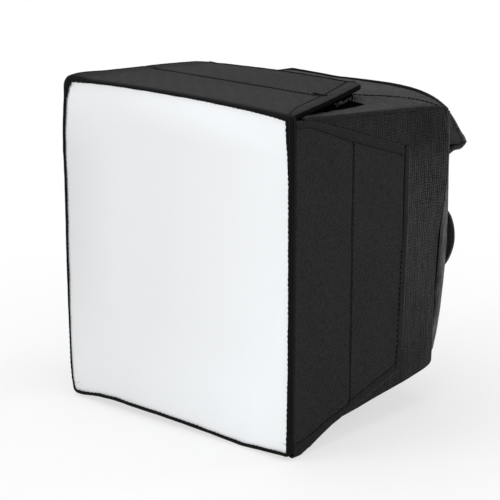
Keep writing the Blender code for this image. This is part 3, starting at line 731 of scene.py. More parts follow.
def makeStrip(wall, part):
    # the cloth cover as a closed shell with a pocket on its inside, its stitches, and the lining
    strip = Strip(wall, part)
    y, s = strip.grid()
    top = strip.outer(y, s)
    under = np.maximum(strip.inner(y, s), top + 0.12)
    patches = [shell(wallPoint(wall, y, s, top), wallPoint(wall, y, s, under), join(y, s))]
    for kind in ["low", "high"] + ["fold"] * (part == "rear") + ["flapRear"] * strip.freeEnd:
        length, radius = panel["stitchLength"], panel["stitchRadius"] * (1.5 if wall == "top" else 1)
        if kind == "fold":
            length, radius = 0.8, 0.1
        patches.append(dashes(strip.line(kind), walls[wall]["out"], length, panel["stitchPitch"] - length, radius))
    name, bodyName = wall + part.title(), f"{wall}_{part}"
    makePiece(name + "Cover", patches, ["wovenPolyester", "spunThread"], bodyName, [f"{bodyName}_cover"])
    # lining: a thin sheet over the board, creased a little, in the pocket's mouth
    first, last = strip.start + strip.pocket[0] + 0.35, strip.end - strip.pocket[1] - 0.35
    y = ticks(first, last, [0, 0.3, 0.8], 2.2)
    low, high = strip.low(y) + panel["liningInset"], strip.high(y) - panel["liningInset"]
    width = float((high - low).mean())
    share = np.concatenate([[0, 0.003, 0.008], np.linspace(0.02, 0.98, round(width / 2.2)), [0.992, 0.997, 1]])
    s = low[:, None] + (high - low)[:, None] * share
    y = np.broadcast_to(y[:, None], s.shape)
    side = np.minimum(np.minimum(s - low[:, None], high[:, None] - s), np.minimum(y - first, last - y))
    depth = box["wall"] - 0.02 - 0.16 * roll(side, 0.9) + 0.1 * wander(y, s, 11, strip.seed + 2) * smooth(1, 6, side)
    patch = shell(wallPoint(wall, y, s, depth), wallPoint(wall, y, s, box["wall"] - 0.36), join(y, s))
    flat = (round((last - first) * 0.001, 4), round(float((high - low).max()) * 0.001, 4))
    makeCloth(name + "Lining", [patch], "aluminisedPolyester", bodyName, f"{bodyName}_lining", "silver_lining",
              f"{bodyName}_board", flat=flat, held="stretched", area=round((last - first) * width * 1e-6, 6))


# hem tape over a wall's side edge: (distance in from the edge, depth) on its outside, round the edge
# and on its inside
hemOutside = np.array([(1.0, 0.16), (0.97, -0.02), (0.9, -0.12), (0.75, -0.17), (0.6, -0.17), (0.45, -0.15),
                       (0.33, -0.08)])
hemEdge = np.array([(0.75, -0.02), (0.36, 0.14), (0.08, 0.42), (-0.1, 0.85), (-0.17, 1.5), (-0.15, 2.2), (-0.02, 2.8),
                    (0.3, 3.2), (0.8, 3.38), (1.8, 3.42), (2.8, 3.38)])
hemInside = np.array([(2.8, 3.14), (1.7, 3.13), (0.85, 2.96), (0.42, 2.6), (0.2, 2.1), (0.14, 1.55), (0.22, 1.0),
                      (0.42, 0.66), (0.75, 0.44), (1.3, 0.3)])


def makeHem(wall, which):
    # a folded tape along both strips, across the fold between them
    last = box["flapEnd"] - 0.15 if wall in flaps else box["rearFold"] - 0.25
    y = np.concatenate([[3.5, 3.6, 3.9, 4.6], np.linspace(6, middle - 3, 26), middle + np.linspace(-2.4, 2.4, 13),
                        np.linspace(middle + 3, last - 3, 26), last - np.array([2.2, 1.5, 0.9, 0.45, 0.15, 0])])
    inset, reach = seamInset(wall, y, which)[:, None], hemReach(wall, y, which)[:, None]
    ring = np.concatenate([
        join(hemOutside[:, 0] * inset, hemOutside[:, 1]),
        join(hemEdge[:, 0] - reach * (1 - smooth(0.2, 1.6, hemEdge[:, 0])), hemEdge[:, 1]),
        join(hemInside[:, 0] - reach * (1 - smooth(0.3, 1.6, hemInside[:, 0])) * 0.9, hemInside[:, 1]),
        join(inset * (0.5, 0.7, 0.88), (0.26, 0.24, 0.22)),
    ], 1)
    # the tape thins and rounds off at its ends, and wavers a little
    close = np.maximum(1 - smooth(0, 1.4, last - y), 0)[:, None]
    swell = (0.1 * wander(y, 0, 9, 151 + ord(wall[0])) + 0.05 * wave(y, panel["stitchPitch"]))[:, None]
    column = np.arange(ring.shape[1])
    outer = column < len(hemOutside) + 6
    side, w = ring[..., 0] + 0.35 * close, ring[..., 1] - swell * (outer & (column > 1)) + 0.3 * close * outer
    if wall == "top":
        w = np.where(w > 0.5, 0.5 + (w - 0.5) * 0.86, w)
        w = w + np.where(outer, 0.25, 0.1) * np.clip(1 - ring[..., 0] / 3.2, 0, 1.1) ** 2 * (w < 2.2)
    low, high, y = walls[wall]["low"](y)[:, None], walls[wall]["high"](y)[:, None], y[:, None]
    s = high - side if which == "high" else low + side
    rings = withStart(wallPoint(wall, y, s, w - bowed(wall, y, np.clip(s, low, high))))
    patches, finishes = [surface(rings, None, False, True)], ["foldedHemTape"]
    if wall == "top":
        # its outer side takes the nearly black copy, painted shade
        lit = 9
        patches = [surface(rings[:, :lit]), surface(np.concatenate([rings[:, lit - 1 :], rings[:, :1]], 1))]
        finishes = ["foldedHemTape", "hemTapePaintedShade"]
    if which == "low" and wall not in flaps:
        # a pale raised edge under the rear strip's hem
        run = np.linspace(middle + 2.5, last - 0.1, 60)
        patches.append(tube(wallPoint(wall, run, sideLow(run) - hemReach(wall, run, which) + 0.05, 0.36), 0.24))
        finishes.append("rubbedCordAndHighlight")
    piece = makePiece(f"{wall}{which.title()}Hem", patches, finishes, None, ())
    s = float(walls[wall][which](middle))
    spanned(piece, [wallPoint(wall, middle + way, s, 1.0) for way in (-2.2, 2.2)])


def makeFlapCords():
    def cord(y, s, depth, radius, sides=8):
        return tube(wallPoint("top", y, s, depth - bowed("top", y, s)), radius, sides)

    # a dark cord sewn into the top flap's rear edge, from one round corner to the other, which also stands for the thin
    # shadow line under that edge: partly painted shadow
    s = np.linspace(-51.5, 47.5, 110)
    y = np.full_like(s, box["flapEnd"] - 0.35)
    patches = {"top_rear": [cord(y, s, 0.28 + 0.06 * wander(s, 0, 7, 161), 0.55)], "top_front": []}
    for bodyName, start, end in (("top_front", 4.0, 45.8), ("top_rear", 48.4, 81.0)):
        # a thinner one along its left edge, and the sewn line of its right hem
        y = np.linspace(start, end, 60)
        left = cord(y, walls["top"]["low"](y) + 0.05, 0.34 + 0.05 * wander(y, 0, 6, 162), 0.34)
        y = np.linspace(start + 1.5, end, 80)
        s = flapEdge(y) - seamInset("top", y, "high")
        patches[bodyName] += [left, cord(y, s, 0.05 + 0.1 * wave(y, panel["stitchPitch"]), 0.42)]
    # the knotted end of the fold's seam
    t = np.linspace(0, 1, 90)
    y, s = 50.0 - 0.7 * t + 0.6 * np.sin(t * 23), 46.6 + 10.0 * t
    patches["top_rear"].append(cord(y, s, -0.3 * np.abs(np.sin(t * 17)), 0.42, 7))
    for bodyName, some in patches.items():
        makePiece(f"flapCord_{bodyName}", some, "spunThread", bodyName, ())


for wall in walls:
    for part in ("front", "rear"):
        makeStrip(wall, part)
    for which in ("low", "high"):
        makeHem(wall, which)
makeFlapCords()
print("stage: walls made")


# ---- the folds: a narrow cloth under the lips of two strips, across the joint


foldCloth = {"reach": 1.75, "depth": 0.84, "thickness": 0.3, "bend": 0.9}


def makeFold(wall):
    low, high = float(walls[wall]["low"](middle)) + 0.7, float(walls[wall]["high"](middle)) - 0.7
    y = np.array([-1, -0.8, -0.6, -0.42, -0.28, -0.14, 0, 0.14, 0.28, 0.42, 0.6, 0.8, 1]) * foldCloth["reach"]
    y, s = np.meshgrid(middle + y, np.linspace(low, high, 90), indexing="ij")
    crease = 0.12 * bump(y, middle, 0.5) + 0.05 * wander(y, s, 4, 5)
    w = foldCloth["depth"] + crease * (np.abs(y - middle) < 1) - bowed(wall, y, s)
    row = np.linspace(low + 4.6, high - 4.6, 90)
    depth, length, gap, radius = (0.3, 2.3, 0.5, 0.4) if wall == "top" else (0.75, 1.9, 0.7, 0.15)
    path = wallPoint(wall, middle, row, depth - bowed(wall, middle, row))
    patches = [shell(wallPoint(wall, y, s, w), wallPoint(wall, y, s, w + foldCloth["thickness"]), join(y, s)),
               dashes(path, walls[wall]["out"], length, gap, radius)]
    # its cloth in the black tape, darker than the panels, so the groove between the strips reads dark: partly painted
    # shade
    piece = makePiece(f"{wall}MiddleFoldCloth", patches, ["ribbedTape", "spunThread"], None, ())
    spots = [wallPoint(wall, middle + way * foldCloth["bend"], (low + high) / 2, foldCloth["depth"]) for way in (-1, 1)]
    spanned(piece, spots)


for wall in walls:
    makeFold(wall)
print("stage: folds made")


# ---- front edge: binding and diffuser


front = {"bulge": 1.0, "cornerBulge": 1.5}


def loopStations(width, height, radius, centre, step, cornerSteps=8):
    # stations round a rectangle with round corners: a centre, an outward direction and a radius for
    # each, so that a point lies at centre + (radius - inset) * direction; the corners run from the
    # top right one round by the top left one
    corners = [(a * (width / 2 - r), b * (height / 2 - r), r)
               for (a, b), r in zip([(1, 1), (-1, 1), (-1, -1), (1, -1)], np.broadcast_to(radius, 4))]
    rows = []
    for k, corner in enumerate(corners):
        for turn in np.radians(np.linspace(90 * k, 90 * k + 90, cornerSteps + 1)):
            rows.append((*corner, math.cos(turn), math.sin(turn)))
        after = corners[(k + 1) % 4]
        count = max(2, round(math.dist(corner[:2], after[:2]) / step))
        for share in np.linspace(0, 1, count + 1)[1:-1]:
            rows.append((*(np.array(corner) + np.subtract(after, corner) * share), *rows[-1][3:]))
    rows = np.array(rows)
    return rows[:, :2] + (0, centre), rows[:, 3:], rows[:, 2]


def loopLine(stations):
    return stations[0] + stations[2][:, None] * stations[1]


def loopRings(stations, profile, wobble=0):
    # profile points (inset, y) at every station; the grid closes in both directions
    centres, ways, sizes = stations
    inset, y = np.array(profile, float).T
    reach = sizes[:, None] - (inset + wobble)
    points = centres[:, None] + reach[..., None] * ways[:, None]
    return join(points[..., 0], y, points[..., 1])


def bowFront(points):
    # the front edge bows up in its middle at the top, waves along the bottom and stands out at the
    # left; its top left corner is lifted
    x, y, z = np.moveaxis(points, -1, 0)
    across = 1 - np.clip(np.abs(x) / half, 0, 1) ** 2
    rise = frontBow["top"] * across * smooth(150, 168, z) + bottomWave(x) * (1 - smooth(2, 25, z))
    rise = rise + front["cornerBulge"] * (1 - smooth(-74, -58, x)) * smooth(160, 170, z)
    return join(x - frontSpread(z) * (1 - smooth(-76, -58, x)), y, z + rise)


def makeFront():
    stations = loopStations(2 * half, tall, (2.9, 5.0, 2.9, 2.9), tall / 2, 1.3)
    wayX, wayZ = stations[1].T
    x, z = loopLine(stations).T
    run = lengths(join(x, z))
    # tape: a rolled lip on the white cloth, narrower at the left and at the bottom
    profile = np.array([
        (2.4, 0.1), (2.3, -0.02), (1.7, -0.1), (1.0, -0.08), (0.45, 0.08), (0.12, 0.4), (0.0, 0.85), (0.06, 1.2),
        (0.35, 1.36), (1.0, 1.42), (1.9, 1.5), (2.3, 1.45), (2.4, 1.3), (1.6, 1.22), (1.05, 1.1), (1.05, 0.5),
        (1.6, 0.42), (2.25, 0.42)])
    # its share of the full width down the right side, down the left side and along the top
    right = np.interp(z, [0, 10, 40, 80, 110, 135, 145, 152, 158, 163, 170],
                      [0.96, 0.88, 0.7, 0.74, 0.8, 0.92, 1.08, 1.28, 1.52, 1.72, 1.8])
    left = np.interp(z, [0, 8, 16, 25, 40, 60, 80, 100, 140, 158, 166, 170],
                     [0.6, 0.3, 0.2, 0.2, 0.36, 0.6, 0.66, 0.72, 0.7, 0.85, 1.8, 2.5])
    top = np.interp(x, [-75, -66, -58, 15, 45, 66, 75], [1.7, 1.15, 0.66, 0.62, 0.72, 1.0, 1.3])
    width = 1 - 0.12 * np.clip(-wayZ, 0, 1)
    for share, way in ((top, wayZ), (right, wayX), (left, -wayX)):
        width = width + (share - 1) * np.clip(way, 0, 1) ** 2
    lip = np.array([1, 1, 0.5] + [0] * 13 + [0.4, 0.9])
    ripple = 0.2 * wave(run, 2.9) + 0.2 * wander(run, 0, 17, 21)
    swell = 0.12 * wander(run, 0, 9, 22)[:, None]
    wobble = profile[:, 0] * (width[:, None] - 1) + ripple[:, None] * lip + swell * (profile[:, 0] < 1)
    line = closed(bowFront(loopRings(stations, [(1.7, -0.12)], 1.7 * (width[:, None] - 1))[:, 0]))
    patches = [torus(bowFront(loopRings(stations, profile, wobble))), dashes(line, (0, -1, 0), 1.9, 0.9, 0.15)]
    makePiece("frontBinding", patches, ["ribbedTape", "spunThread"], "front", ["front_binding"])
    # behind it the panel cloth's own hem, and the seam allowance inside
    profile = np.array([(0.25, 1.48), (0.03, 1.54), (0.0, 1.75), (0.0, 2.8), (0.0, 3.25), (0.1, 3.38), (1.0, 3.36),
                        (1.7, 3.3), (1.75, 2.4), (1.7, 1.56), (1.0, 1.5)])
    hem = loopRings(stations, profile, 0.6 * swell * (profile[:, 0] < 0.5))
    tail = loopRings(stations, [(0.95, 3.33), (0.95, 3.72), (1.35, 3.72), (1.35, 3.33)])
    makePiece("frontHem", [torus(bowFront(hem)), torus(bowFront(tail))], "ribbedTape", "front", ())

    # the diffuser: taut, slightly crowned, with faint pulls from its corners
    inset, radius = 1.35, 1.6
    z = ticks(inset, tall - inset, [0, 0.25, 0.6, 1.1, 2.0, 3.2], 2.4)
    beyond = np.clip(np.abs(z - tall / 2) - (tall / 2 - inset - radius), 0, radius * 0.999)
    reach = half - inset - (radius - np.sqrt(radius**2 - beyond**2))
    x = reach[:, None] * ticks(-1, 1, [0, 0.003, 0.009, 0.02, 0.04], 0.032)
    z = np.broadcast_to(z[:, None], x.shape)
    sideGap, endGap = half - np.abs(x), tall / 2 - np.abs(z - tall / 2)
    crown = (1 - (x / half) ** 2) * (1 - ((z - tall / 2) / (tall / 2)) ** 2)
    pulls = np.exp(-(sideGap + endGap) / 22) * np.sin((sideGap - endGap) / 3.2)
    y = 0.97 - front["bulge"] * np.sqrt(np.clip(crown, 0, 1)) + 0.14 * pulls
    y = y + 0.1 * wander(x, z, 46, 31) * smooth(2, 20, np.minimum(sideGap, endGap))
    x = x - np.interp(z, [0, 8, 16, 40, 60, 110], [0.5, 0.85, 0.95, 0.7, 0.4, 0.0]) * (1 - smooth(-74, -60, x))
    patch = shell(bowFront(join(x, y, z)), bowFront(join(x, y + 0.3, z)), join(x, z))
    makeCloth("diffuserCloth", [patch], "calenderedWhiteNylon", "front", "diffuser_cloth", "diffuser_nylon",
              "frontBinding", flat=(0.1515, 0.1675), held="stretched")


makeFront()
print("stage: front made")


# ---- soft loop cloth round the panels


surround = {
    "thickness": 0.9,
    "topStart": 12.0,
    "rollSize": 1.15,  # of the rolled hem along the top edges
    "dip": 0.5,  # of the top cloth beside the flap, which sags into the box
    "keep": 0.1,  # of its depth when the softbox is folded flat
    "floor": 4.5,
}
thickness = surround["thickness"]
seamStart, seamEnd = box["flapEnd"] - 2.3, box["surround"] - 3.5
seamInner = flapTaper(seamStart) - 7.0
seamSlope = (seamEnd - seamStart) / (box["clothEdge"] - seamInner)
archPower = 7

# top of the rolled hem between the side cloth and the top cloth
edgeHeight = curve([9, 15, 29, 43.5, 65, 84, 99.5, 109, 119, 124],
                   [168.4, 168.0, 166.3, 165.1, 163.0, 161.3, 160.0, 158.9, 157.2, 155.8])
# the arch is lower at its left shoulder
archShoulder = curve([-75, -70, -60, -50, -39, -33, -28, 15, 40, 60, 72, 75],
                     [0.7, 3.8, 5.5, 4.8, 3.1, 1.8, 0.5, 0.4, 0.15, 0.35, 0.5, 0.2])
# where the side cloth is folded under, from front to rear
foldLine = curve([44.6, 56.1, 67.1, 78.5, 90, 101.6, 113.2, 117, 119.5, 121.5, 123.2],
                 [9.4, 10.5, 11.9, 13.1, 14.2, 15.0, 15.9, 16.5, 17.2, 18.1, 19.2])
# where the side cloth ends at the back panel: further forward low down
seamY = curve([20, 30, 50, 74, 85, 95, 105], [121.6, 121.7, 121.2, 121.3, 121.7, 122.4, 123.0])
# how far the side cloth's rear end draws in low down, and bulges out higher up
sidePull = curve([18, 23.6, 29.3, 40.5, 51.6, 62.7, 73.8, 84.8, 90, 95, 104, 112, 120, 130, 140, 150, 156],
                 [1.8, 1.7, 1.5, 1.5, 1.3, 1.1, 0.4, 0.1, -0.1, -0.5, -1.5, -2.6, -3.4, -3.6, -3.3, -2.2, -0.8])
# how far the back panel's sides draw in towards its lower corners
backPull = curve([17, 22, 26.7, 31, 36, 45, 54, 63, 67.7, 74, 82, 104, 116, 150, 156],
                 [7.3, 6.8, 5.9, 4.9, 4.0, 2.7, 1.8, 0.9, 0.5, 0.1, -0.4, -0.6, -0.4, -0.2, 0.0])


def archDip(x):
    return archShoulder(x) + 0.4 * bump(x, 1, 9)


def rearShare(y):
    # 0 at the seam behind the flap, 1 at the back panel
    return np.clip((y - seamStart) / (box["surround"] - seamStart), 0, 1)


def topHeight(x, y):
    # the cloth on top: from its crown down to its edges, sagging beside the flap
    share, away = rearShare(y), np.abs(x)
    crown, edge = 165.5 - 2.2 * share, edgeHeight(y) - 0.5
    height = edge + (crown - edge) * (1 - np.minimum(1, away / half) ** (4 + (archPower - 4) * share))
    sag = smooth(9, 18, y) * (1 - smooth(62, 74, y + 0.35 * (away - 58)))
    return height - surround["dip"] * sag * smooth(0.6, 8.5, 73.4 - away) - archDip(x) * share


def cornerSeam(y):
    return np.where(y <= seamStart, flapTaper(y) - 7.0, seamInner + (y - seamStart) / seamSlope)


def seamDepth(x):
    return seamStart + np.maximum(0, np.abs(x) - seamInner) * seamSlope


def cornerPull(z):
    # what the back panel draws in beyond the side cloth
    return np.maximum(0, backPull(z) - sidePull(z) - 1.0)


def drawnIn(x, y, z):
    # the lower and side cloths' x, drawn in towards the back panel's outline
    share = np.clip((y - 94.3) / 26.7, 0, 1) ** 1.1
    pull = np.maximum(sidePull(z), 0) * share + cornerPull(z) * smooth(118.0, 122.0, y)
    return x - np.sign(x) * pull * (np.abs(x) / half) ** 3


def makeSoftCloth(name, patches, finish, node, restsOn, **facts):
    # a cloth of the surround, on the back body
    piece = makeCloth(name, patches, finish, "back", node, "loop_cloth", restsOn, held="stretched", **facts)
    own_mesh(piece)


def makeSideCloth(side, sign):
    # ruled between the panel's sewn edge and the cloth's own outline, along a path shaped like a C:
    # back along the top, down the rear and forward again below
    rear, tapeEnd, low = 123.0, box["rearFold"] + 4.7, 42.0
    outerY, innerY = np.linspace(surround["topStart"], rear, 90), np.linspace(surround["topStart"], tapeEnd, 90)
    inner = [join(innerY, sideHigh(innerY) + 0.35 + hemReach(side, innerY, "high"))]
    outer = [join(outerY, edgeHeight(outerY) - 1.4)]
    outerZ = np.linspace(outer[0][-1, 1], float(foldLine(rear)), 80)
    innerZ = np.linspace(inner[0][-1, 1], float(sideLow(tapeEnd - 3.7)) - 0.5, 80)
    inner.append(join(tapeEnd - 0.95 * rearTaper(innerZ), innerZ)[1:])
    outer.append(join(seamY(outerZ), outerZ)[1:])
    innerY, outerY = np.linspace(inner[1][-1, 0], low, 60), np.linspace(outer[1][-1, 0], low, 60)
    inner.append(join(innerY, sideLow(innerY) - 0.5)[1:])
    outer.append(join(outerY, foldLine(outerY))[1:])
    inner, outer = np.concatenate(inner), np.concatenate(outer)
    gap = np.linalg.norm(outer - inner, axis=1, keepdims=True)
    run = spaced(0 * gap[:, 0], gap[:, 0], [0, 0.3, 0.7, 1.2, 2.0, 3.0],
                 [0, 0.15, 0.35, 0.65, 1.05, 1.5, 2.1, 2.8, 3.5, 4.2], 30, 8.2)
    yz = inner[:, None] + (outer - inner)[:, None] * (run / gap)[..., None]
    y, z = yz[..., 0], yz[..., 1]
    outside = gap - run
    lower = np.concatenate([np.zeros(90), smooth(60, 79, np.arange(79)), np.ones(59)])[:, None]
    top = np.concatenate([np.ones(90), 1 - smooth(0, 6, np.arange(79)), np.zeros(59)])[:, None]
    # its edges turn in, and its rear end follows the back panel
    depth = 0.5 * top * (1 - smooth(0.4, 2.6, outside)) + 0.7 * roll(outside, 0.9)
    depth = depth + 0.9 * lower * roll(outside, 2.4) * smooth(85, 100, y)
    depth = depth + sidePull(z) * np.clip((y - tapeEnd) / 26.7, 0, 1) ** 1.1
    depth = depth + cornerPull(z) * smooth(-1.0, 0.1, y - seamY(z)) * (z < 90)
    # upright streaks, and creases above the panel's corner
    inside = smooth(0, 7, run) * smooth(0, 9, outside)
    streak = wave(y + 0.9 * np.sin(z / 17) + 0.03 * z, 5.6) * (0.5 + 0.5 * wander(y, z, 40, 47))
    depth = depth + inside * (0.1 * streak + 0.3 * wander(y, z * 0.25, 9, 41) + 0.12 * wander(y, z * 0.3, 4, 42))
    crease = wave(y * 0.8 + z * 0.45, 5.2, np.sin(z / 4)) * bump(z, 147 - 0.12 * y, 7) * bump(y, 82, 9)
    depth = depth + 0.3 * crease * smooth(0, 3, run) * smooth(0, 3, outside)
    x = box["clothEdge"] - depth
    outerFace = join(sign * x, y, z)
    # a dark cord in its rear seam, and some pulled loops above the right panel's corner
    cord = outerFace[96:164, -1] + (sign * 0.12, 0.25, 0)
    out = (sign, 0, 0)
    patches = [shell(outerFace, join(sign * (x - thickness), y, z), yz), tube(cord, 0.36, 8, out)]
    t = np.linspace(0, 1, 7)
    draw = np.random.default_rng(48)
    for k in range(10 if side == "right" else 0):
        y, z = draw.uniform(80.5, 88) + 1.3 * t, draw.uniform(144.5, 149.5) + (1.6 + 0.8 * (k % 3)) * t
        x = box["clothEdge"] - 0.05 + 0.22 * np.sin(math.pi * t)
        patches.append(tube(join(sign * x, y, z), 0.08, 6, out))
    finishes = ["brushedNylonLoop", "spunThread", "rubbedCordAndHighlight"][: len(patches)]
    makeSoftCloth(f"{side}SideCloth", patches, finishes, f"{side}_side_cloth", "back_board",
                  flat=(0.108, 0.152), area=0.0072)


def makeCornerCloth(side, sign):
    # the pale triangle beside the top flap, from under the flap out to its rolled hem
    y = ticks(surround["topStart"], seamStart, [0, 0.5], 1.3)
    y = np.concatenate([y, np.linspace(seamStart, float(seamDepth(box["clothEdge"] - 1.6)), 26)[1:]])
    reach = box["clothEdge"] - 0.9
    x = spaced(cornerSeam(y), reach, [0], [0, 0.3, 0.6, 1.0, 1.4, 1.9, 2.4, 2.9, 3.4, 4.2], 18, 5.7)
    y = np.broadcast_to(y[:, None], x.shape)
    edge = reach - x
    height = topHeight(x, y) + 0.16 * wander(x, y, 8, 51) * smooth(2, 8, edge)
    height = height - 0.5 * bump(y - seamDepth(x), 0, 0.9) * (x > seamInner)
    outer = join(sign * x, y, height)
    patches = [shell(outer, outer - (0, 0, thickness), join(x, y))]
    # the black tape that the flap's hooks grip, from under the flap to just outside its edge, where its outline follows
    # the flap's cast shadow: partly painted shadow
    v = np.linspace(surround["topStart"] + 1.0, 70.3, 60)
    first = cornerSeam(v) + 0.8
    last = np.maximum(63.2, first + 1.0)
    u = first[:, None] + np.maximum(last - first, 1.0)[:, None] * np.linspace(0, 1, 16)
    v = np.broadcast_to(v[:, None], u.shape)
    lift = topHeight(u, v) + 0.16 * wander(u, v, 8, 51)
    patches.append(shell(join(sign * u, v, lift + 0.3), join(sign * u, v, lift - 0.1), join(u, v)))
    # the rolled hem, which thins out to both ends, and a row of pale stitches beside it, which paint the highlight
    # along the hem's lit edge
    along = np.concatenate([[9.3, 9.5, 10.0, 11.0], np.linspace(12.5, 119, 90), [120.2, 121.0]])
    size = surround["rollSize"] * (1 - 0.75 * roll(along - 9.1, 2.4)) * (1 - 0.4 * smooth(104, 121, along))
    size = size + 0.07 * wander(along, 0, 6, 52)
    sink = edgeHeight(along) - size + 0.12 * wander(along, 0, 14, 53)
    patches.append(tube(join(sign * (box["clothEdge"] + 0.45 - size), along, sink), size, 14))
    rows = np.arange(8, len(x) - 6)
    row = outer[rows, np.argmin(np.abs(edge - 2.6), 1)[rows]] + (0, 0, 0.03)
    patches.append(dashes(row, (0, 0, 1), 1.6, 1.1, 0.14))
    finishes = ["brushedNylonLoop", "mouldedHookTape", "brushedNylonLoop", "rubbedCordAndHighlight"]
    makeSoftCloth(f"topCornerCloth{side.title()}", patches, finishes, f"top_corner_cloth_{side}",
                  f"{side}_side_cloth", flat=(0.034, 0.112), area=0.0022)


def makeRearTopCloth():
    # from the seam behind the flap back to the arch of the back panel
    reach = box["clothEdge"]
    across = ticks(-reach, reach, [0, 0.15, 0.4, 0.9, 1.5, 2.4], 1.6)
    begin = seamDepth(across) + 0.6
    y = spaced(begin, box["surround"], [0, 0.3, 0.7, 1.3], [0, 0.3, 0.8, 1.5], 20, 5)
    x = np.broadcast_to(across[:, None], y.shape)
    fromSeam, fromBack = y - begin[:, None], box["surround"] - y
    height = topHeight(x, y) - 0.45 * bump(fromSeam, 0, 0.8) + 0.3 * bump(fromSeam, 1.6, 0.7)
    height = height - 1.2 * roll(reach - np.abs(x), 1.4) + 0.15 * wander(x, y, 12, 61) * smooth(1, 5, fromBack)
    crease = np.sin((np.abs(x) - 62 + (y - 108) * 0.6) / 1.1)
    height = height + 0.32 * crease * bump(np.abs(x), 63, 6) * bump(y, 111, 5)
    outer = join(x, y, height)
    x, y = across[4:-4], begin[4:-4] + 0.7
    patches = [shell(outer, outer - (0, 0, thickness), outer[..., :2]),
               dashes(join(x, y, topHeight(x, y) + 0.1), (0, 0, 1), 1.9, 0.5, 0.13)]
    makeSoftCloth("rearTopCloth", patches, ["brushedNylonLoop", "spunThread"], "rear_top_cloth", "back_board",
                  flat=(0.149, 0.043), area=0.0050)


def lowerHeight(x, y):
    floor = surround["floor"]
    side = np.maximum(floor, np.minimum(foldLine(y), sideLow(y)) - 0.4)
    low = floor + (21.3 - floor) * rearShare(y) ** 1.5
    inner = cornerSeam(np.minimum(y, seamStart))
    across = np.clip((np.abs(x) - inner) / (box["clothEdge"] - inner), 0, 1)
    return low + (np.maximum(side, low) - low) * across**1.5


def makeLowerCloth(name, x, y, height, places, node, restsOn, **facts):
    outer = join(drawnIn(x, y, height), y, height)
    makeSoftCloth(name, [shell(outer, outer + (0, 0, thickness), places)], "brushedNylonLoop", node, restsOn, **facts)


def makeLowerCloths():
    edge = box["clothEdge"] - 1.2
    for side, sign in bothSides:
        y = ticks(29.0, seamStart, [0, 0.5], 1.8)
        y = np.concatenate([y, np.linspace(seamStart, float(seamDepth(edge - 1.2)), 22)[1:]])
        x = spaced(cornerSeam(y), edge, [0], [0], 20)
        y = np.broadcast_to(y[:, None], x.shape)
        height = lowerHeight(x, y) + 0.12 * wander(x, y, 9, 71) * smooth(0, 4, edge - x)
        makeLowerCloth(f"lowerCornerCloth{side.title()}", sign * x, y, height, join(x, y),
                       f"lower_corner_cloth_{side}", f"{side}_side_cloth", flat=(0.030, 0.093), area=0.0015)
    x = np.linspace(-edge, edge, 90)
    begin = seamDepth(x) + 0.9
    y = spaced(begin, box["surround"], [0], [0], 24)
    x = np.broadcast_to(x[:, None], y.shape)
    height = lowerHeight(x, y) + 0.15 * wander(x, y, 12, 73) * smooth(0, 5, y - begin[:, None])
    makeLowerCloth("rearBottomCloth", x, y, height, join(x, y), "rear_bottom_cloth", "back_board",
                   flat=(0.147, 0.046), area=0.0054)


for side, sign in bothSides:
    makeSideCloth(side, sign)
    makeCornerCloth(side, sign)
makeRearTopCloth()
makeLowerCloths()
print("stage: soft cloth made")


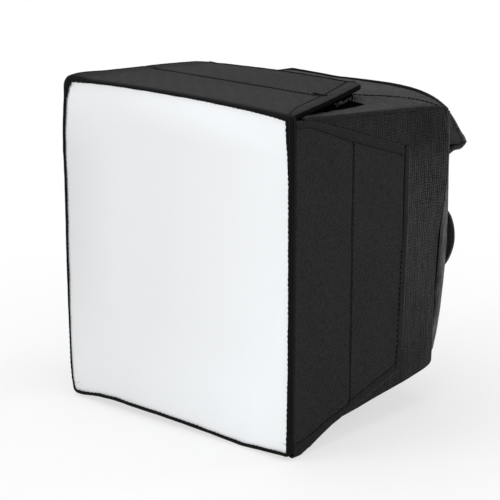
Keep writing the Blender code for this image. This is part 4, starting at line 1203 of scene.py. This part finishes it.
def makeSeamTape(side, sign):
    # the tape that the panel's rear edge is sewn to: a flat lip under the panel and a rolled rib,
    # narrower low down, where a hem tape of the panel runs over the fold
    at = box["rearFold"]
    start, out = at + 0.15, (sign, 0, 0)
    z = np.linspace(float(sideLow(start)) + 0.3, float(sideHigh(start)) + 0.9, 90)
    path = join(sign * (74.15 + 0.05 * wander(z, 0, 12, 81)), start + 2.8, z)
    along, over = np.array([
        (-2.6, -0.55), (-2.55, 0.1), (-2.3, 0.5), (-1.8, 0.62), (-0.4, 0.66), (0.6, 0.66), (1.3, 0.55), (1.7, 0.2),
        (1.75, -0.6), (1.0, -0.8), (-1.0, -0.8)]).T
    narrow = np.maximum(0.12, 1 - rearTaper(z) / 4.35)[:, None]
    rings = path[:, None] + join(over * sign, (along + 2.6) * narrow - 2.6, 0)
    edge = path + join(sign * 0.5, 1.45 + 0.12 * wander(z, 0, 8, 82) - rearTaper(z), 0)
    patches = [capped(rings), tube(edge[2:-2], 0.3, 8, out),
               dashes(path[45:-3] + (sign * 0.5, -2.3, 0), out, 1.3, 1.2, 0.12)]
    makePiece(f"{side}SeamTape", patches, ["foldedHemTape", "rubbedCordAndHighlight", "spunThread"], "rear_seam",
              [f"{side}_seam_tape"])
    # the cloth of the fold itself, between the panel and the tape
    s = np.linspace(float(sideLow(at)) + 0.9, float(sideHigh(at)) - 0.9, 80)
    y, s = np.meshgrid(at + np.array([-1.5, -1.1, -0.7, -0.35, 0, 0.3, 0.55, 0.8]), s, indexing="ij")
    depth = 0.88 + 0.2 * smooth(0, 0.8, y - at)
    patches = [shell(wallPoint(side, y, s, depth), wallPoint(side, y, s, depth + 0.28), join(y, s))]
    # the hem tape over the fold's lower half, its front edge sewn down in a slanted line
    s = np.linspace(float(sideLow(at)) + 0.2, 96.0, 70)
    lap = rearTaper(s)
    reach = lap + 0.3 + 0.9 * smooth(0, 2.5, lap)
    near = np.array([0, 0.15, 0.4, 0.8, 1.6])[:, None] * np.minimum(1, lap / 2.4)
    fromSeam = np.concatenate([near, near[-1] + (reach - near[-1]) * np.linspace(0.12, 1, 9)[:, None]])
    y = at - 0.3 - lap + fromSeam
    s = np.broadcast_to(s, y.shape)
    depth = -0.1 + 0.42 * (1 - smooth(0, 0.5, fromSeam)) + 0.05 * wander(y, s, 7, 83)
    patches.append(shell(wallPoint(side, y, s, depth), wallPoint(side, y, s, 0.5), join(y, s)))
    patches.append(dashes(wallPoint(side, y[0] - 0.12, s[0], 0.0)[:62], out, 2.2, 0.5, 0.26))
    finishes = ["wovenPolyester", "foldedHemTape", "spunThread"]
    piece = makePiece(f"{side}RearFoldCloth", patches, finishes, None, ())
    spanned(piece, [wallPoint(side, at + way, 85.0, 0.9) for way in (-0.9, 0.5)])


for side, sign in bothSides:
    makeSeamTape(side, sign)
print("stage: seam tapes made")


# ---- back panel, opening, cuff


back = {"bottom": 21.0, "shoulder": 155.0, "arch": 8.7, "radius": 2.5, "opening": (78.0, 56.0, 8.0)}
root, centre = face + 0.3, box["openingCentre"]


def backTop(x):
    return back["shoulder"] + back["arch"] * (1 - np.minimum(1, np.abs(x) / half) ** archPower) - archDip(x)


def backOutline():
    # round the back panel at its full size: lower corners are round, the top is an arch
    low, radius = back["bottom"], back["radius"]
    turn = np.radians(np.linspace(180, 270, 9))
    corner = join(radius - half + radius * np.cos(turn), low + radius + radius * np.sin(turn))
    below = np.linspace(radius - half, half - radius, 60)[1:-1]
    rise = np.linspace(low + radius, back["shoulder"] - 1.5, 60)[1:]
    arch = np.linspace(1, -1, 90) * (half - 0.8)
    points = np.concatenate([corner, join(below, low), (corner * (-1, 1))[::-1], join(half, rise),
                             join(arch, backTop(arch) - 0.2), join(-half, rise[::-1])])
    points[:, 0] -= np.sign(points[:, 0]) * backPull(points[:, 1]) * (np.abs(points[:, 0]) / half) ** 3
    return points


def rayRadius(outline, turns):
    # distance from the opening's centre to an outline, in each direction
    x, z = (outline - (0, centre)).T
    angle = np.arctan2(z, x)
    order = np.argsort(angle)
    return np.interp(turns, angle[order], np.hypot(x, z)[order], period=tau)


outline = backOutline()
turns = np.sort(np.arctan2(outline[:, 1] - centre, outline[:, 0]))
outerRadius = rayRadius(outline, turns)
holeRadius = rayRadius(loopLine(loopStations(*back["opening"], centre, 1.0, 10)), turns)


def backRing(share, inset, y):
    # share 0 at the opening and 1 at the outline, drawn in by inset mm along the ray
    distance = holeRadius + (outerRadius - inset - holeRadius) * share
    return join(np.cos(turns) * distance, y, centre + np.sin(turns) * distance)


def loopStitches(stations, inset, y, sign, length, radius):
    # a row of stitches round a loop, on its outside or its inside
    line, out = loopRings(stations, [(inset, y)])[:, 0], sign * join(stations[1][:, 0], 0, stations[1][:, 1])
    return dashes(closed(line), closed(out), length, 0.9, radius)


def makeBack():
    front, floor = box["backFront"], face - 1.7
    rings = [backRing(share, 6.0, face) for share in np.linspace(0, 1, 22)]
    for share, ring in zip(np.linspace(0, 1, 22), rings):
        ring[:, 1] += 0.16 * wander(ring[:, 0], ring[:, 2], 30, 91) * smooth(0.02, 0.2, share) - 0.15 * (share == 0)
    # the rim: a sewn line, a rounded edge that ends further forward low down, and its turned hem
    for inset, y in (
        (5.2, face), (4.6, face - 0.02), (4.2, face - 0.25), (3.8, face - 0.5), (3.4, face - 0.25), (2.9, face + 0.05),
        (2.2, face + 0.12), (1.5, face + 0.05), (0.9, face - 0.2), (0.45, face - 0.6), (0.12, face - 1.2),
        (0, face - 2.0), (0.05, face - 2.9), (0.3, face - 3.6), (0.8, face - 4.2), (1.5, front + 0.05), (2.4, front),
        (3.0, front + 0.02), (3.1, front + 0.3), (3.1, floor),
    ):
        ring = backRing(1.0, inset, y)
        if inset < 3.5 and y > front + 0.4:
            ring[:, 1] += 0.06 * wander(turns * 60, 0, 7, 93)
        if inset < 3.05 and y > floor:
            ring[:, 1] -= (123.0 - seamY(ring[:, 2])) * np.clip((face - y) / (face - front), 0, 1)
        rings.append(ring)
    rings += [backRing(share, 3.1, floor) for share in np.linspace(1, 0, 8)[1:]]
    line = closed(backRing(1.0, 3.8, face - 0.42))
    makePiece("backCover", [torus(np.stack(rings)), dashes(line, (0, 1, 0), 1.9, 0.9, 0.17)],
              ["wovenPolyester", "spunThread"], "back", ["back_cover"])

    # the board follows the drawn-in corners
    shares = (0.015, 0.3, 0.7, 1.0)
    rings = [backRing(s, 3.5, front + 0.7) for s in shares] + [backRing(s, 3.5, front + 2.5) for s in shares[::-1]]
    makePiece("backBoard", [torus(np.stack(rings))], "extrudedPolypropylene", "back", ["back_board"], 30)

    # loop cloth rolled over the back panel's sides and bottom, painted pale: painted rim light
    line = outline[(outline[:, 1] < 153) | (np.abs(outline[:, 0]) > 74.9)]
    line = line[np.argsort(np.arctan2(line[:, 0], centre - line[:, 1]))]
    steps = lengths(line)
    even = np.linspace(0, steps[-1], 300)
    x, z = np.interp(even, steps, line[:, 0]), np.interp(even, steps, line[:, 1])
    inwards = unit(join(-x, 0, centre - z))
    begin = seamY(z) + 0.1
    path = join(x, (begin + face) / 2 + 0.1 * wander(even, 0, 11, 98), z) + inwards * 0.55
    wide = (face - begin) / 2 * (1 + 0.04 * wander(even, 0, 7, 99))
    turn = np.arange(12) * tau / 12
    rings = path[:, None] - inwards[:, None] * (0.95 * np.cos(turn))[:, None]
    rings[..., 1] += wide[:, None] * np.sin(turn)
    rings = withStart(rings)
    uv = join(*np.meshgrid(np.arange(13) * 1.1, lengths(rings)))
    makePiece("backEdgeRoll", [surface(rings, uv, False, True)], "wornPileEdge", "back", ())

    # silver lining inside the back panel
    grid = np.stack([backRing(s, 3.6, front + 0.05) for s in np.linspace(0, 1, 16)])
    for ring in grid:
        ring[:, 1] += 0.1 * wander(ring[:, 0], ring[:, 2], 12, 95)
    under = join(grid[..., 0], front + 0.38, grid[..., 2])
    makeCloth("backLining", [shell(grid, under, None, True)], "aluminisedPolyester", "back", "back_lining",
              "silver_lining", "back_board", flat=(0.143, 0.134), held="stretched", area=0.0138)

    # binding round the opening
    stations = loopStations(77.4, 55.4, 7.7, centre, 1.4, 10)
    profile = [(0.1, front + 0.5), (0.0, front + 1.2), (0, face - 0.6), (0.15, face - 0.15), (0.6, face + 0.05),
               (1.05, face - 0.15), (1.2, face - 0.6), (1.2, front + 0.8), (1.0, front + 0.1), (0.5, front - 0.1)]
    wobble = 0.05 * wander(np.arange(len(stations[0])) * 1.4, 0, 8, 97)[:, None]
    patches = [torus(loopRings(stations, profile, wobble)), loopStitches(stations, 1.22, face - 2.2, -1, 1.8, 0.13)]
    makePiece("openingBinding", patches, ["ribbedTape", "spunThread"], "back", ["opening_binding"])


def makeCuff():
    end = face + 22.3
    stations = loopStations(81.4, 59.4, 9.7, centre, 0.9, 16)
    points = loopLine(stations)
    run = lengths(points)
    depth = np.concatenate([root + np.array([0, 0.2, 0.6]), np.linspace(root + 1.4, end - 8.4, 12),
                            end - np.array([7.6, 7.2, 5, 3, 1.2, 0.4, 0])])
    rim = 0.25 * roll(depth - root, 0.8)
    profile = np.concatenate([join(rim + 0.1 * smooth(end - 9, end - 7.4, depth), depth), join(1.7 - rim, depth)[::-1]])
    # it gathers towards its band, less on its inside, and is smooth under the loop patches
    gather = 0.28 * wave(run, 5.1, np.sin(run / 13)) + 0.18 * wave(run, 3.1)
    weight = smooth(root + 2, end - 8, profile[:, 1]) * (1 - smooth(end - 8.2, end - 7.4, profile[:, 1]))
    clear = 1 - (np.abs(stations[1][:, 0]) > 0.9) * (np.abs(points[:, 1] - centre) < 13)
    wobble = (gather * clear)[:, None] * weight * np.repeat([1, 0.5], len(depth))
    wobble = wobble + 0.05 * wave(profile[:, 1], 1.5, tau / 4) * weight
    patches = [torus(loopRings(stations, profile, wobble)), loopStitches(stations, 0.03, root + 1.3, 1, 1.9, 0.16)]
    makePiece("flashCuff", patches, ["ribbedElastic", "spunThread"], "back", ["flash_cuff"])

    # the band round its end: rounded edges and cross ribs
    stations = loopStations(84.4, 62.4, 11.2, centre, 0.75, 20)
    y = np.array([0, 0.15, 0.5, 1.2, 2.2, 3.5, 4.8, 5.8, 6.5, 6.85, 7.0])
    bulge = 0.35 * (roll(y, 0.9) + roll(7 - y, 0.9))
    grooves = 0.16 * (bump(y, 1.3, 0.35) + bump(y, 5.7, 0.35))
    start = end - 7.0
    profile = np.concatenate([join(bulge + grooves, start + y), join(1.2 - 0.5 * bulge, start + y)[::-1]])
    wobble = 0.09 * wave(np.arange(len(stations[0])) * 0.75, 1.5)[:, None] * np.repeat([1, 0], len(y))
    patches = [torus(loopRings(stations, profile, wobble))]
    patches += [loopStitches(stations, 0.1, start + at, 1, 1.7, 0.15) for at in (1.3, 5.7)]
    makePiece("cuffBand", patches, ["ribbedElastic", "spunThread"], "back", ["cuff_elastic"])


def roundPad(u, v, cornerRadius):
    # pulls a grid from -1..1 in both directions to a rectangle with round corners, by half sizes u, v
    a = np.concatenate([[-1, -0.985, -0.95, -0.88], np.linspace(-0.78, 0.78, 14), [0.88, 0.95, 0.985, 1]])
    rows, columns = np.meshgrid(a, a, indexing="ij")
    x, z = rows * u, columns * v
    beyond = np.clip(np.abs(z) - (v - cornerRadius), 0, cornerRadius * 0.999)
    edge = np.minimum(u - np.abs(x), v - np.abs(z))
    return x * (u - (cornerRadius - np.sqrt(cornerRadius**2 - beyond**2))) / u, z, edge


def makePatches():
    for side, sign in bothSides:
        # a loop patch on the cuff's side
        y, z, edge = roundPad(5.0, 11.0, 1.5)
        depth = 0.8 - 0.35 * roll(edge, 0.7) + 0.08 * wander(y, z, 2.2, 101) * smooth(0, 1, edge)
        at, turn = face + 7.8, np.linspace(0, tau, 60)
        path = join(sign * 41.75, at + 3.9 * np.clip(1.3 * np.cos(turn), -1, 1),
                    centre + 9.9 * np.clip(1.3 * np.sin(turn), -1, 1))
        outer, inner = join(sign * (41.0 + depth), at + y, centre + z), join(sign * 41.02, at + y, centre + z)
        patches = [shell(outer, inner, join(y, z)), dashes(path, (sign, 0, 0), 1.6, 0.8, 0.13)]
        makePiece(f"cuffLoop{side.title()}", patches, ["brushedNylonLoop", "spunThread"], "back",
                  [f"cuff_loop_{side}"])
        # the tab that holds the strap's root
        x, z, edge = roundPad(1.9, 14.2, 0.8)
        outer = join(sign * (45.2 + x), face + 1.05 - 0.4 * roll(edge, 0.6), centre + z)
        inner = join(outer[..., 0], face + 0.2, outer[..., 2])
        path = join(sign * 45.2, face + 1.06, centre + np.linspace(-13, 13, 40))
        patches = [shell(outer, inner, join(x, z)), dashes(path, (0, 1, 0), 1.5, 0.5, 0.16)]
        makePiece(f"strapTab{side.title()}", patches, ["ribbedTape", "spunThread"], "back", ())


strap = {"start": 47.5, "thickness": 1.4, "radius": 15.0, "round": 8.2, "centreX": 71.0, "seamInset": 2.0}


def makeStrap(side, sign):
    start, thick, radius, rounded, centreX, seam = strap.values()
    centreZ = centre - 0.8
    bend = centreX + rounded * np.sin(np.radians(np.linspace(0, 88.5, 26)))
    x = np.concatenate([start + np.array([0, 0.3, 0.8]), np.linspace(start + 1.5, centreX, 18)[:-1], bend])
    reach = radius * np.sqrt(np.maximum(1 - np.clip((x - centreX) / rounded, 0, 1) ** 2, 0.0002))
    lines = np.concatenate([[-1, -0.985, -0.95, -0.9], np.linspace(-0.83, 0.83, 26), [0.9, 0.95, 0.985, 1]])
    z = reach[:, None] * lines
    # the lower half is longer, and runs out in a slant
    x = x[:, None] - 2.2 * np.clip(-z / radius, 0, 1) ** 1.2 * smooth(centreX - 4, centreX + rounded, x)[:, None]
    tip = 1 - np.hypot(np.maximum(x - centreX, 0) / rounded, z / radius)
    tip = tip * np.where(x > centreX, rounded + (radius - rounded) * np.abs(z) / radius, radius)
    edge = np.where(x > centreX, tip, radius - np.abs(z))
    rim = 1 - smooth(2.2, 2.9, edge)
    top = thick - 0.28 + 0.28 * rim - 0.55 * roll(edge, 0.8) - 0.12 * bump(edge, 2.7, 0.35)
    top = top + 0.06 * wave(z, 1.5, tau / 4) * (1 - rim)
    under = 0.28 - 0.26 * rim + 0.5 * roll(edge, 0.8)
    height = centreZ + z * np.where(z < 0, 1.19, 1.0)
    # its seam, on both faces
    turn, line = np.linspace(-90, 90, 60) * math.pi / 180, np.linspace(start + 1.5, centreX, 20)
    path = np.concatenate([join(line, seam - radius),
                           join(centreX + (rounded - seam) * np.cos(turn), (radius - seam) * np.sin(turn)),
                           join(line, radius - seam)[::-1]])
    path = join(sign * path[:, 0], root + thick + 0.01, centreZ + path[:, 1])
    patches = [shell(join(sign * x, root + top, height), join(sign * x, root + under, height), join(z, x)),
               dashes(path, (0, 1, 0), 1.8, 0.9, 0.15), dashes(path - (0, thick, 0), (0, -1, 0), 1.8, 0.9, 0.13)]
    makePiece(f"strap{side.title()}", patches, ["ribbedElastic", "spunThread"], f"strap_{side}", [f"strap_{side}"])
    hookTape(f"strapHook{side.title()}", (8.0, 9.6), f"strap_{side}", [f"strap_hook_{side}"],
             lambda a, b, d: join(sign * (centreX - 4.0 + a), root + thick + 0.3 + d, centreZ + b), 111)


def hookTape(name, sizes, bodyName, nodes, place, seed):
    # a woven base with rows of bent bristles; place maps (a, b, height) to a point
    u, v = sizes
    a, b, edge = roundPad(u, v, 1.2)
    base = shell(place(a, b, 0.42 - 0.2 * roll(edge, 0.5)), place(a, b, np.zeros_like(a)), join(a, b))
    draw = np.random.default_rng(seed)
    a, b = np.meshgrid(np.arange(-u + 0.9, u - 0.8, 0.95), np.arange(-v + 0.9, v - 0.8, 0.95), indexing="ij")
    a, b = a.ravel() + draw.uniform(-0.2, 0.2, a.size), b.ravel() + draw.uniform(-0.2, 0.2, b.size)
    turn = draw.uniform(0, tau, a.size)[:, None, None]
    stem = np.array([0.0, 0.2, 0.42, 0.5, 0.44])[:, None]  # height above the base
    lean = np.array([0.0, 0.03, 0.12, 0.3, 0.46])[:, None]  # sideways
    thick = np.array([0.13, 0.11, 0.1, 0.09, 0.03])[:, None]
    around = np.arange(4) * tau / 4
    a = a[:, None, None] + lean * np.cos(turn) + thick * np.cos(around)
    b = b[:, None, None] + lean * np.sin(turn) + thick * np.sin(around)
    rings = place(a, b, np.broadcast_to(0.35 + 0.75 * stem, a.shape))
    # its bristles in the pale thread: painted highlight
    makePiece(name, [base, bristles(rings, [0, 1])], ["mouldedHookTape", "polishedThread"], bodyName, nodes)


def makeHookStrips():
    start, end = middle + 4.0, box["flapEnd"] - 5.0
    at, halfLength = (start + end) / 2, (end - start) / 2
    for wall in flaps:
        for side, sign in bothSides:
            def place(a, b, d, wall=wall, sign=sign):
                # the strip's outer edge hangs away from the flap
                droop = (1.7 if wall == "top" else 1.0) * np.clip((a + 6) / 12, 0, 1.1) ** 3
                return wallPoint(wall, at + b, sign * (flapTaper(at + b) - 7.6 + a), box["wall"] + 0.45 + droop + d)
            hookTape(f"{wall}Hook{side.title()}", (6.0, halfLength), f"{wall}_rear", [f"{wall}_hook_{side}"],
                     place, 121)
    # torn pile caught on the top strips' outer edges, near their rear ends, in the pale thread: painted highlight,
    # bright though it hangs in the flap's shade
    draw = np.random.default_rng(122)
    t = np.linspace(0, 1, 6)
    tufts = {"count": 34, "start": 53, "run": 25}
    for side, sign in bothSides:
        patches = []
        for k in range(tufts["count"]):
            y = tufts["start"] + tufts["run"] * (k + draw.uniform(0, 0.8)) / tufts["count"]
            lean = draw.uniform(-1.2, 1.2, 2)
            s = sign * (flapTaper(y) - 1.4 + draw.uniform(-1.2, 0.6) + lean[0] * t * t)
            down = 4.0 + (1.2 + 2.6 * ((y - tufts["start"]) / tufts["run"]) ** 2 + draw.uniform(-0.4, 0.8)) * t
            path = wallPoint("top", y + 0.6 * lean[1] * t, s, down)
            patches.append(tube(path, 0.12 * (1 - 0.5 * t), 5, (0.6, 0.8, 0)))
        makePiece(f"tornPile{side.title()}", patches, "polishedThread", "top_rear", ())


hood = {"depth": 15.6, "fall": 17.6, "reach": half - 0.6, "hollow": 0.5, "hemSwell": 0.7}
# from the shoulder down to the wing's low edge, and down to the fold above its hem, along the wing
hemFall = curve([0, 0.07, 0.22, 0.39, 0.59, 0.73, 0.87, 0.95, 1],
                [21.0, 20.7, 20.1, 19.95, 20.2, 19.9, 18.95, 18.3, 17.9])
creaseFall = curve([0, 0.33, 0.5, 0.8, 0.92], [17.3, 17.8, 18.1, 18.1, 17.3])


def makeHood():
    # a soft cover behind the top edge: bulging panel with a folded hem
    depth, fall, reach = hood["depth"], hood["fall"], hood["reach"]
    x = ticks(-reach, reach, [0, 0.2, 0.5, 1.0, 1.8, 3.0], 1.8)
    t = np.concatenate([[0, 0.02, 0.05], np.linspace(0.1, 0.78, 14), [0.82, 0.85, 0.88, 0.92, 0.96, 0.985, 1.0]])
    x, t = np.meshgrid(x, t, indexing="ij")
    top = backTop(x * half / reach) - 1.5
    low = fall + back["arch"] / 2 * (1 - (np.abs(x) / reach) ** 4)
    edge = reach - np.abs(x)
    bulge = 1.9 * np.sin(math.pi * t**0.9) * smooth(0, 12, edge)
    bulge = bulge + 0.35 * smooth(0.8, 0.87, t) * (1 - roll((1 - t) * 20, 1.4)) - 0.25 * bump(t, 0.83, 0.02)
    bulge = 0.7 * (bulge + 0.45 * wander(x, t * 20, 22, 131) * np.sin(math.pi * t))
    outer = join(x, root + depth * t + bulge, top - low * t + bulge - 0.9 * roll(edge, 1.6))
    thin = smooth(0, 0.05, t)
    inner = outer - join(0, 0.75 * thin, 0.85 + 0.35 * (1 - thin))
    row = outer[3:-3, np.argmin(np.abs(t[0] - 0.82))] + (0, 0.1, 0.1)
    patches = [shell(outer, inner, join(x, 22 * t)), dashes(row, (0, 0.7, 0.7), 1.8, 0.9, 0.16)]
    makeCloth("hoodPanel", patches, ["brushedHoodLoop", "spunThread"], "hood", "hood_panel", "loop_cloth",
              "back_cover", flat=(0.150, 0.026), held="hung")


def makeWing(side, sign):
    # the hood's wing: ruled from the panel's slope to its own lower edge, with a thick soft hem below
    depth, fall, reach = hood["depth"], hood["fall"], hood["reach"]
    shoulder, out = back["shoulder"] - 3.1, (sign, 0, 0)
    u = np.concatenate([[0, 0.02, 0.06], np.linspace(0.12, 0.94, 22), [0.97, 0.985, 1.0]])
    v = np.concatenate([[0, 0.04, 0.1], np.linspace(0.2, 0.7, 8),
                        [0.75, 0.79, 0.82, 0.85, 0.88, 0.91, 0.94, 0.97, 0.985, 1.0]])
    u, v = np.meshgrid(u, v, indexing="ij")
    slopeY, slopeZ = root + depth * u, shoulder - fall * u
    lowY, lowZ = root + (depth - 0.8 * u**4) * u, shoulder - hemFall(u)
    y, z = slopeY + (lowY - slopeY) * v, slopeZ + (lowZ - slopeZ) * v
    # down from the slope it hollows, then a thick soft hem of even width swells out
    size = np.hypot(slopeY - lowY, slopeZ - lowZ)
    up = (1 - v) * size
    hollow = np.sin(math.pi * u) * smooth(3, 8, up) * smooth(0, 4, v * size) + bump(up, 2.6, 0.6)
    swell = hood["hemSwell"] * np.sqrt(np.clip(1 - ((up - 0.9) / 1.2) ** 2, 0, 1)) - hood["hollow"] * hollow
    outer = join(sign * (reach + swell * smooth(0, 0.1, u) - 0.15), y, z)
    patches = [shell(outer, join(sign * (reach - 1.15), y, z), join(y, z)),
               dashes(outer[2:-2, 13] + (sign * 0.12, 0, 0), out, 1.6, 0.9, 0.1)]
    # a fold above the hem in the nearly black tape, thick at its root: painted shade for the fold's shadow; a pale skin
    # on the hem and a pale rim down the slope: painted light
    t = np.linspace(0, 1, 40)
    u = 0.04 + 0.86 * t
    crease = join(sign * (reach - 0.75), root + depth * u, shoulder - creaseFall(u))
    u = 0.02 + 0.95 * t
    low = join(sign * (reach - 0.15), root + (depth - 0.8 * u**4) * u, shoulder - hemFall(u) + 0.2)
    rim = join(sign * (reach - 0.45), root + 1.2 + (depth - 1.5) * t, shoulder - 0.6 - (fall - 0.4) * t)
    start = smooth(0, 0.3, t)
    extra = [tube(crease, 0.3 + 0.65 * (1 - t) ** 1.5, 10, out), tube(low, 0.8 * (1.25 - 0.3 * start), 12, out),
             tube(rim, 0.75 * (0.6 + 0.4 * start + 0.35 * bump(t, 0.82, 0.14)), 10, out)]
    makePiece(f"hoodHem{side.title()}", extra, ["hemTapePaintedShade", "hoodHemPaintedLight"], "hood", ())
    makeCloth(f"hoodWing{side.title()}", patches, ["brushedHoodLoop", "spunThread"], "hood", f"hood_wing_{side}",
              "loop_cloth", "hoodPanel", flat=(0.0215, 0.0185), held="hung", area=0.00021)


def makeArchBinding():
    # the rolled tape over the seam between the top cloth and the back panel
    x = np.linspace(-71.0, 71.0, 150)
    path = join(x, 123.6 + 0.1 * wander(x, 0, 9, 141), backTop(x) - 0.25)
    size = (0.55 + 0.4 * smooth(0, 45, np.abs(x))) * (1 - 0.6 * smooth(62, 71, np.abs(x))) + 0.08 * wander(x, 0, 5, 142)
    makePiece("archBinding", [tube(path, 1.5 * size, 12, squash=0.72)], "ribbedTape", "back", ())


makeBack()
makeCuff()
makePatches()
for side, sign in bothSides:
    makeStrap(side, sign)
makeHookStrips()
makeHood()
for side, sign in bothSides:
    makeWing(side, sign)
makeArchBinding()
print("stage: back made")


# ---- loose threads


def makeThreads():
    # single ends of thread where seams stop, each a bent hair: its start and its direction
    spots = {
        "front": [(-73.4, -0.1, 168.2, -0.6, -0.5, 1.0), (-73.0, -0.1, 166.8, 0.9, -0.4, -0.7),
                  (72.6, -0.1, 165.0, -0.7, -0.3, -1.4), (72.2, -0.1, 5.4, -0.9, -0.3, 0.8),
                  (-72.4, -0.1, 4.4, 0.8, -0.4, 0.9), (73.6, 0.0, 1.0, -0.4, -0.5, -0.7)],
        "top_front": [(57.6, 45.6, 170.0, -0.4, -0.5, 0.9), (58.4, 45.2, 170.0, 0.8, 0.3, 0.7),
                      (56.8, 45.9, 170.1, -1.0, 0.5, 0.5)],
        "top_rear": [(56.6, 49.6, 170.1, 0.7, 0.8, 0.6), (45.8, 79.6, 170.1, -0.5, -0.6, 0.9),
                     (-57.0, 48.6, 170.1, -0.8, -0.5, 0.7)],
        "right_rear": [(75.0, 86.0, 137.0, 0.7, 0.5, 0.6), (75.0, 86.2, 136.4, 0.8, 0.8, -0.2)],
    }
    t = np.linspace(0, 1, 9)
    for bodyName, ends in spots.items():
        patches = []
        for k, end in enumerate(ends):
            curl = 0.25 * join(np.sin(t * 4 + k), np.cos(t * 3 + k) - 1, np.sin(t * 5))
            path = end[:3] + (1.7 * np.array(end[3:]) + curl) * t[:, None]
            patches.append(tube(path, 0.09, 5, (0.3, 0.2, 0.9)))
        makePiece(f"threads_{bodyName}", patches, "spunThread", bodyName, ())


makeThreads()
print("stage: threads made")


# ---- floor, light and camera


studio = {
    "world": 0.36,
    "floorSize": 6.0,
    "floorHeight": -0.0027,
    "aim": (0, 0, 0.085),
    "lamps": {  # place, size and power
        "topLamp": ((-0.15, 0.0, 1.3), 1.3, 7.5),
        "frontLamp": ((-0.75, -1.3, 0.55), 0.9, 9.5),
        "rightLamp": ((1.4, -0.25, 0.75), 0.9, 1.6),
        "backLamp": ((0.75, 1.35, 0.6), 0.7, 7.0),
    },
    # placed from the eight corners of the box in the picture
    "camera": {"at": (0.6864, -0.81215, 0.3706), "yaw": 40.85, "pitch": 15.49, "tilt": 0.17, "lens": 149.76},
}


def seenRays(tree):
    # 1 for what the camera sees, straight or in a reflection
    rays = addNode(tree, "LightPath").outputs
    seen = maths(tree, "ADD", rays["Is Camera Ray"], rays["Is Glossy Ray"], use_clamp=True)
    return maths(tree, "ADD", seen, rays["Is Transmission Ray"], use_clamp=True)


def mixInto(tree, output, share, first, second):
    mix = addNode(tree, "MixShader", None, {0: share, 1: first.outputs[0], 2: second.outputs[0]})
    tree.links.new(mix.outputs[0], tree.nodes[output].inputs["Surface"])


def plainWhite(tree, kind, strength=1.0):
    return addNode(tree, kind, None, {"Color": (1, 1, 1, 1), "Strength": strength})


def makeStudio():
    # floor: it turns to plain white away from the object, for the camera and in reflections
    tree, shader = newMaterial("studioPaper", {"Roughness": 0.9, "Specular IOR Level": 0.1})
    place = addNode(tree, "TexCoord").outputs["Object"]
    grain = noise(tree, place, 1 / 60, 3.0)
    tree.links.new(shades(tree, grain, (0.0, 1.0), ("F4F4F5", "FAFAFA")), shader.inputs["Base Color"])
    flat = addNode(tree, "Mapping", None, {"Vector": place, "Scale": (1, 1, 0)})
    away = addNode(tree, "VectorMath", {"operation": "LENGTH"}, {0: flat.outputs[0]}).outputs["Value"]
    far = mapped(tree, away, 0.05, 0.36, 0.62, 1.0, "SMOOTHSTEP")
    mixInto(tree, "Material Output", maths(tree, "MULTIPLY", far, seenRays(tree)), shader, plainWhite(tree, "Emission"))
    size, low = studio["floorSize"], studio["floorHeight"]
    mesh = bpy.data.meshes.new("studioFloor")
    corners = [(-size, -size, low), (size, -size, low), (size, size, low), (-size, size, low)]
    mesh.from_pydata(corners, [], [(0, 1, 2, 3)])
    mesh.materials.append(materials["studioPaper"])
    floor = bpy.data.objects.new("studioFloor", mesh)
    bpy.context.scene.collection.objects.link(floor)

    world = bpy.data.worlds.new("studioWorld")
    bpy.context.scene.world = world
    world.use_nodes = True
    tree = world.node_tree
    lit, shown = plainWhite(tree, "Background", studio["world"]), plainWhite(tree, "Background")
    mixInto(tree, "World Output", seenRays(tree), lit, shown)
    for name, (at, size, power) in studio["lamps"].items():
        data = bpy.data.lights.new(name, "AREA")
        data.shape, data.size, data.energy = "DISK", size, power
        lamp = bpy.data.objects.new(name, data)
        lamp.location = at
        lamp.rotation_euler = (Vector(studio["aim"]) - Vector(at)).to_track_quat("-Z", "Y").to_euler()
        bpy.context.scene.collection.objects.link(lamp)


def makeCamera():
    view = studio["camera"]
    a, b = math.radians(view["yaw"]), math.radians(view["pitch"])
    away = Vector((math.sin(a) * math.cos(b), -math.cos(a) * math.cos(b), math.sin(b)))
    right = (-away).cross(Vector((0, 0, 1))).normalized()
    turn = Matrix((right, right.cross(-away), away)).transposed().to_4x4()
    data = bpy.data.cameras.new("studioCamera")
    data.lens, data.sensor_width, data.clip_start, data.clip_end = view["lens"], 36.0, 0.05, 50.0
    camera = bpy.data.objects.new("studioCamera", data)
    camera.matrix_world = Matrix.Translation(view["at"]) @ turn @ Matrix.Rotation(math.radians(view["tilt"]), 4, "Z")
    bpy.context.scene.collection.objects.link(camera)
    bpy.context.scene.camera = camera


makeStudio()
makeCamera()
bpy.context.scene.view_settings.view_transform = "Standard"
print("stage: studio made")
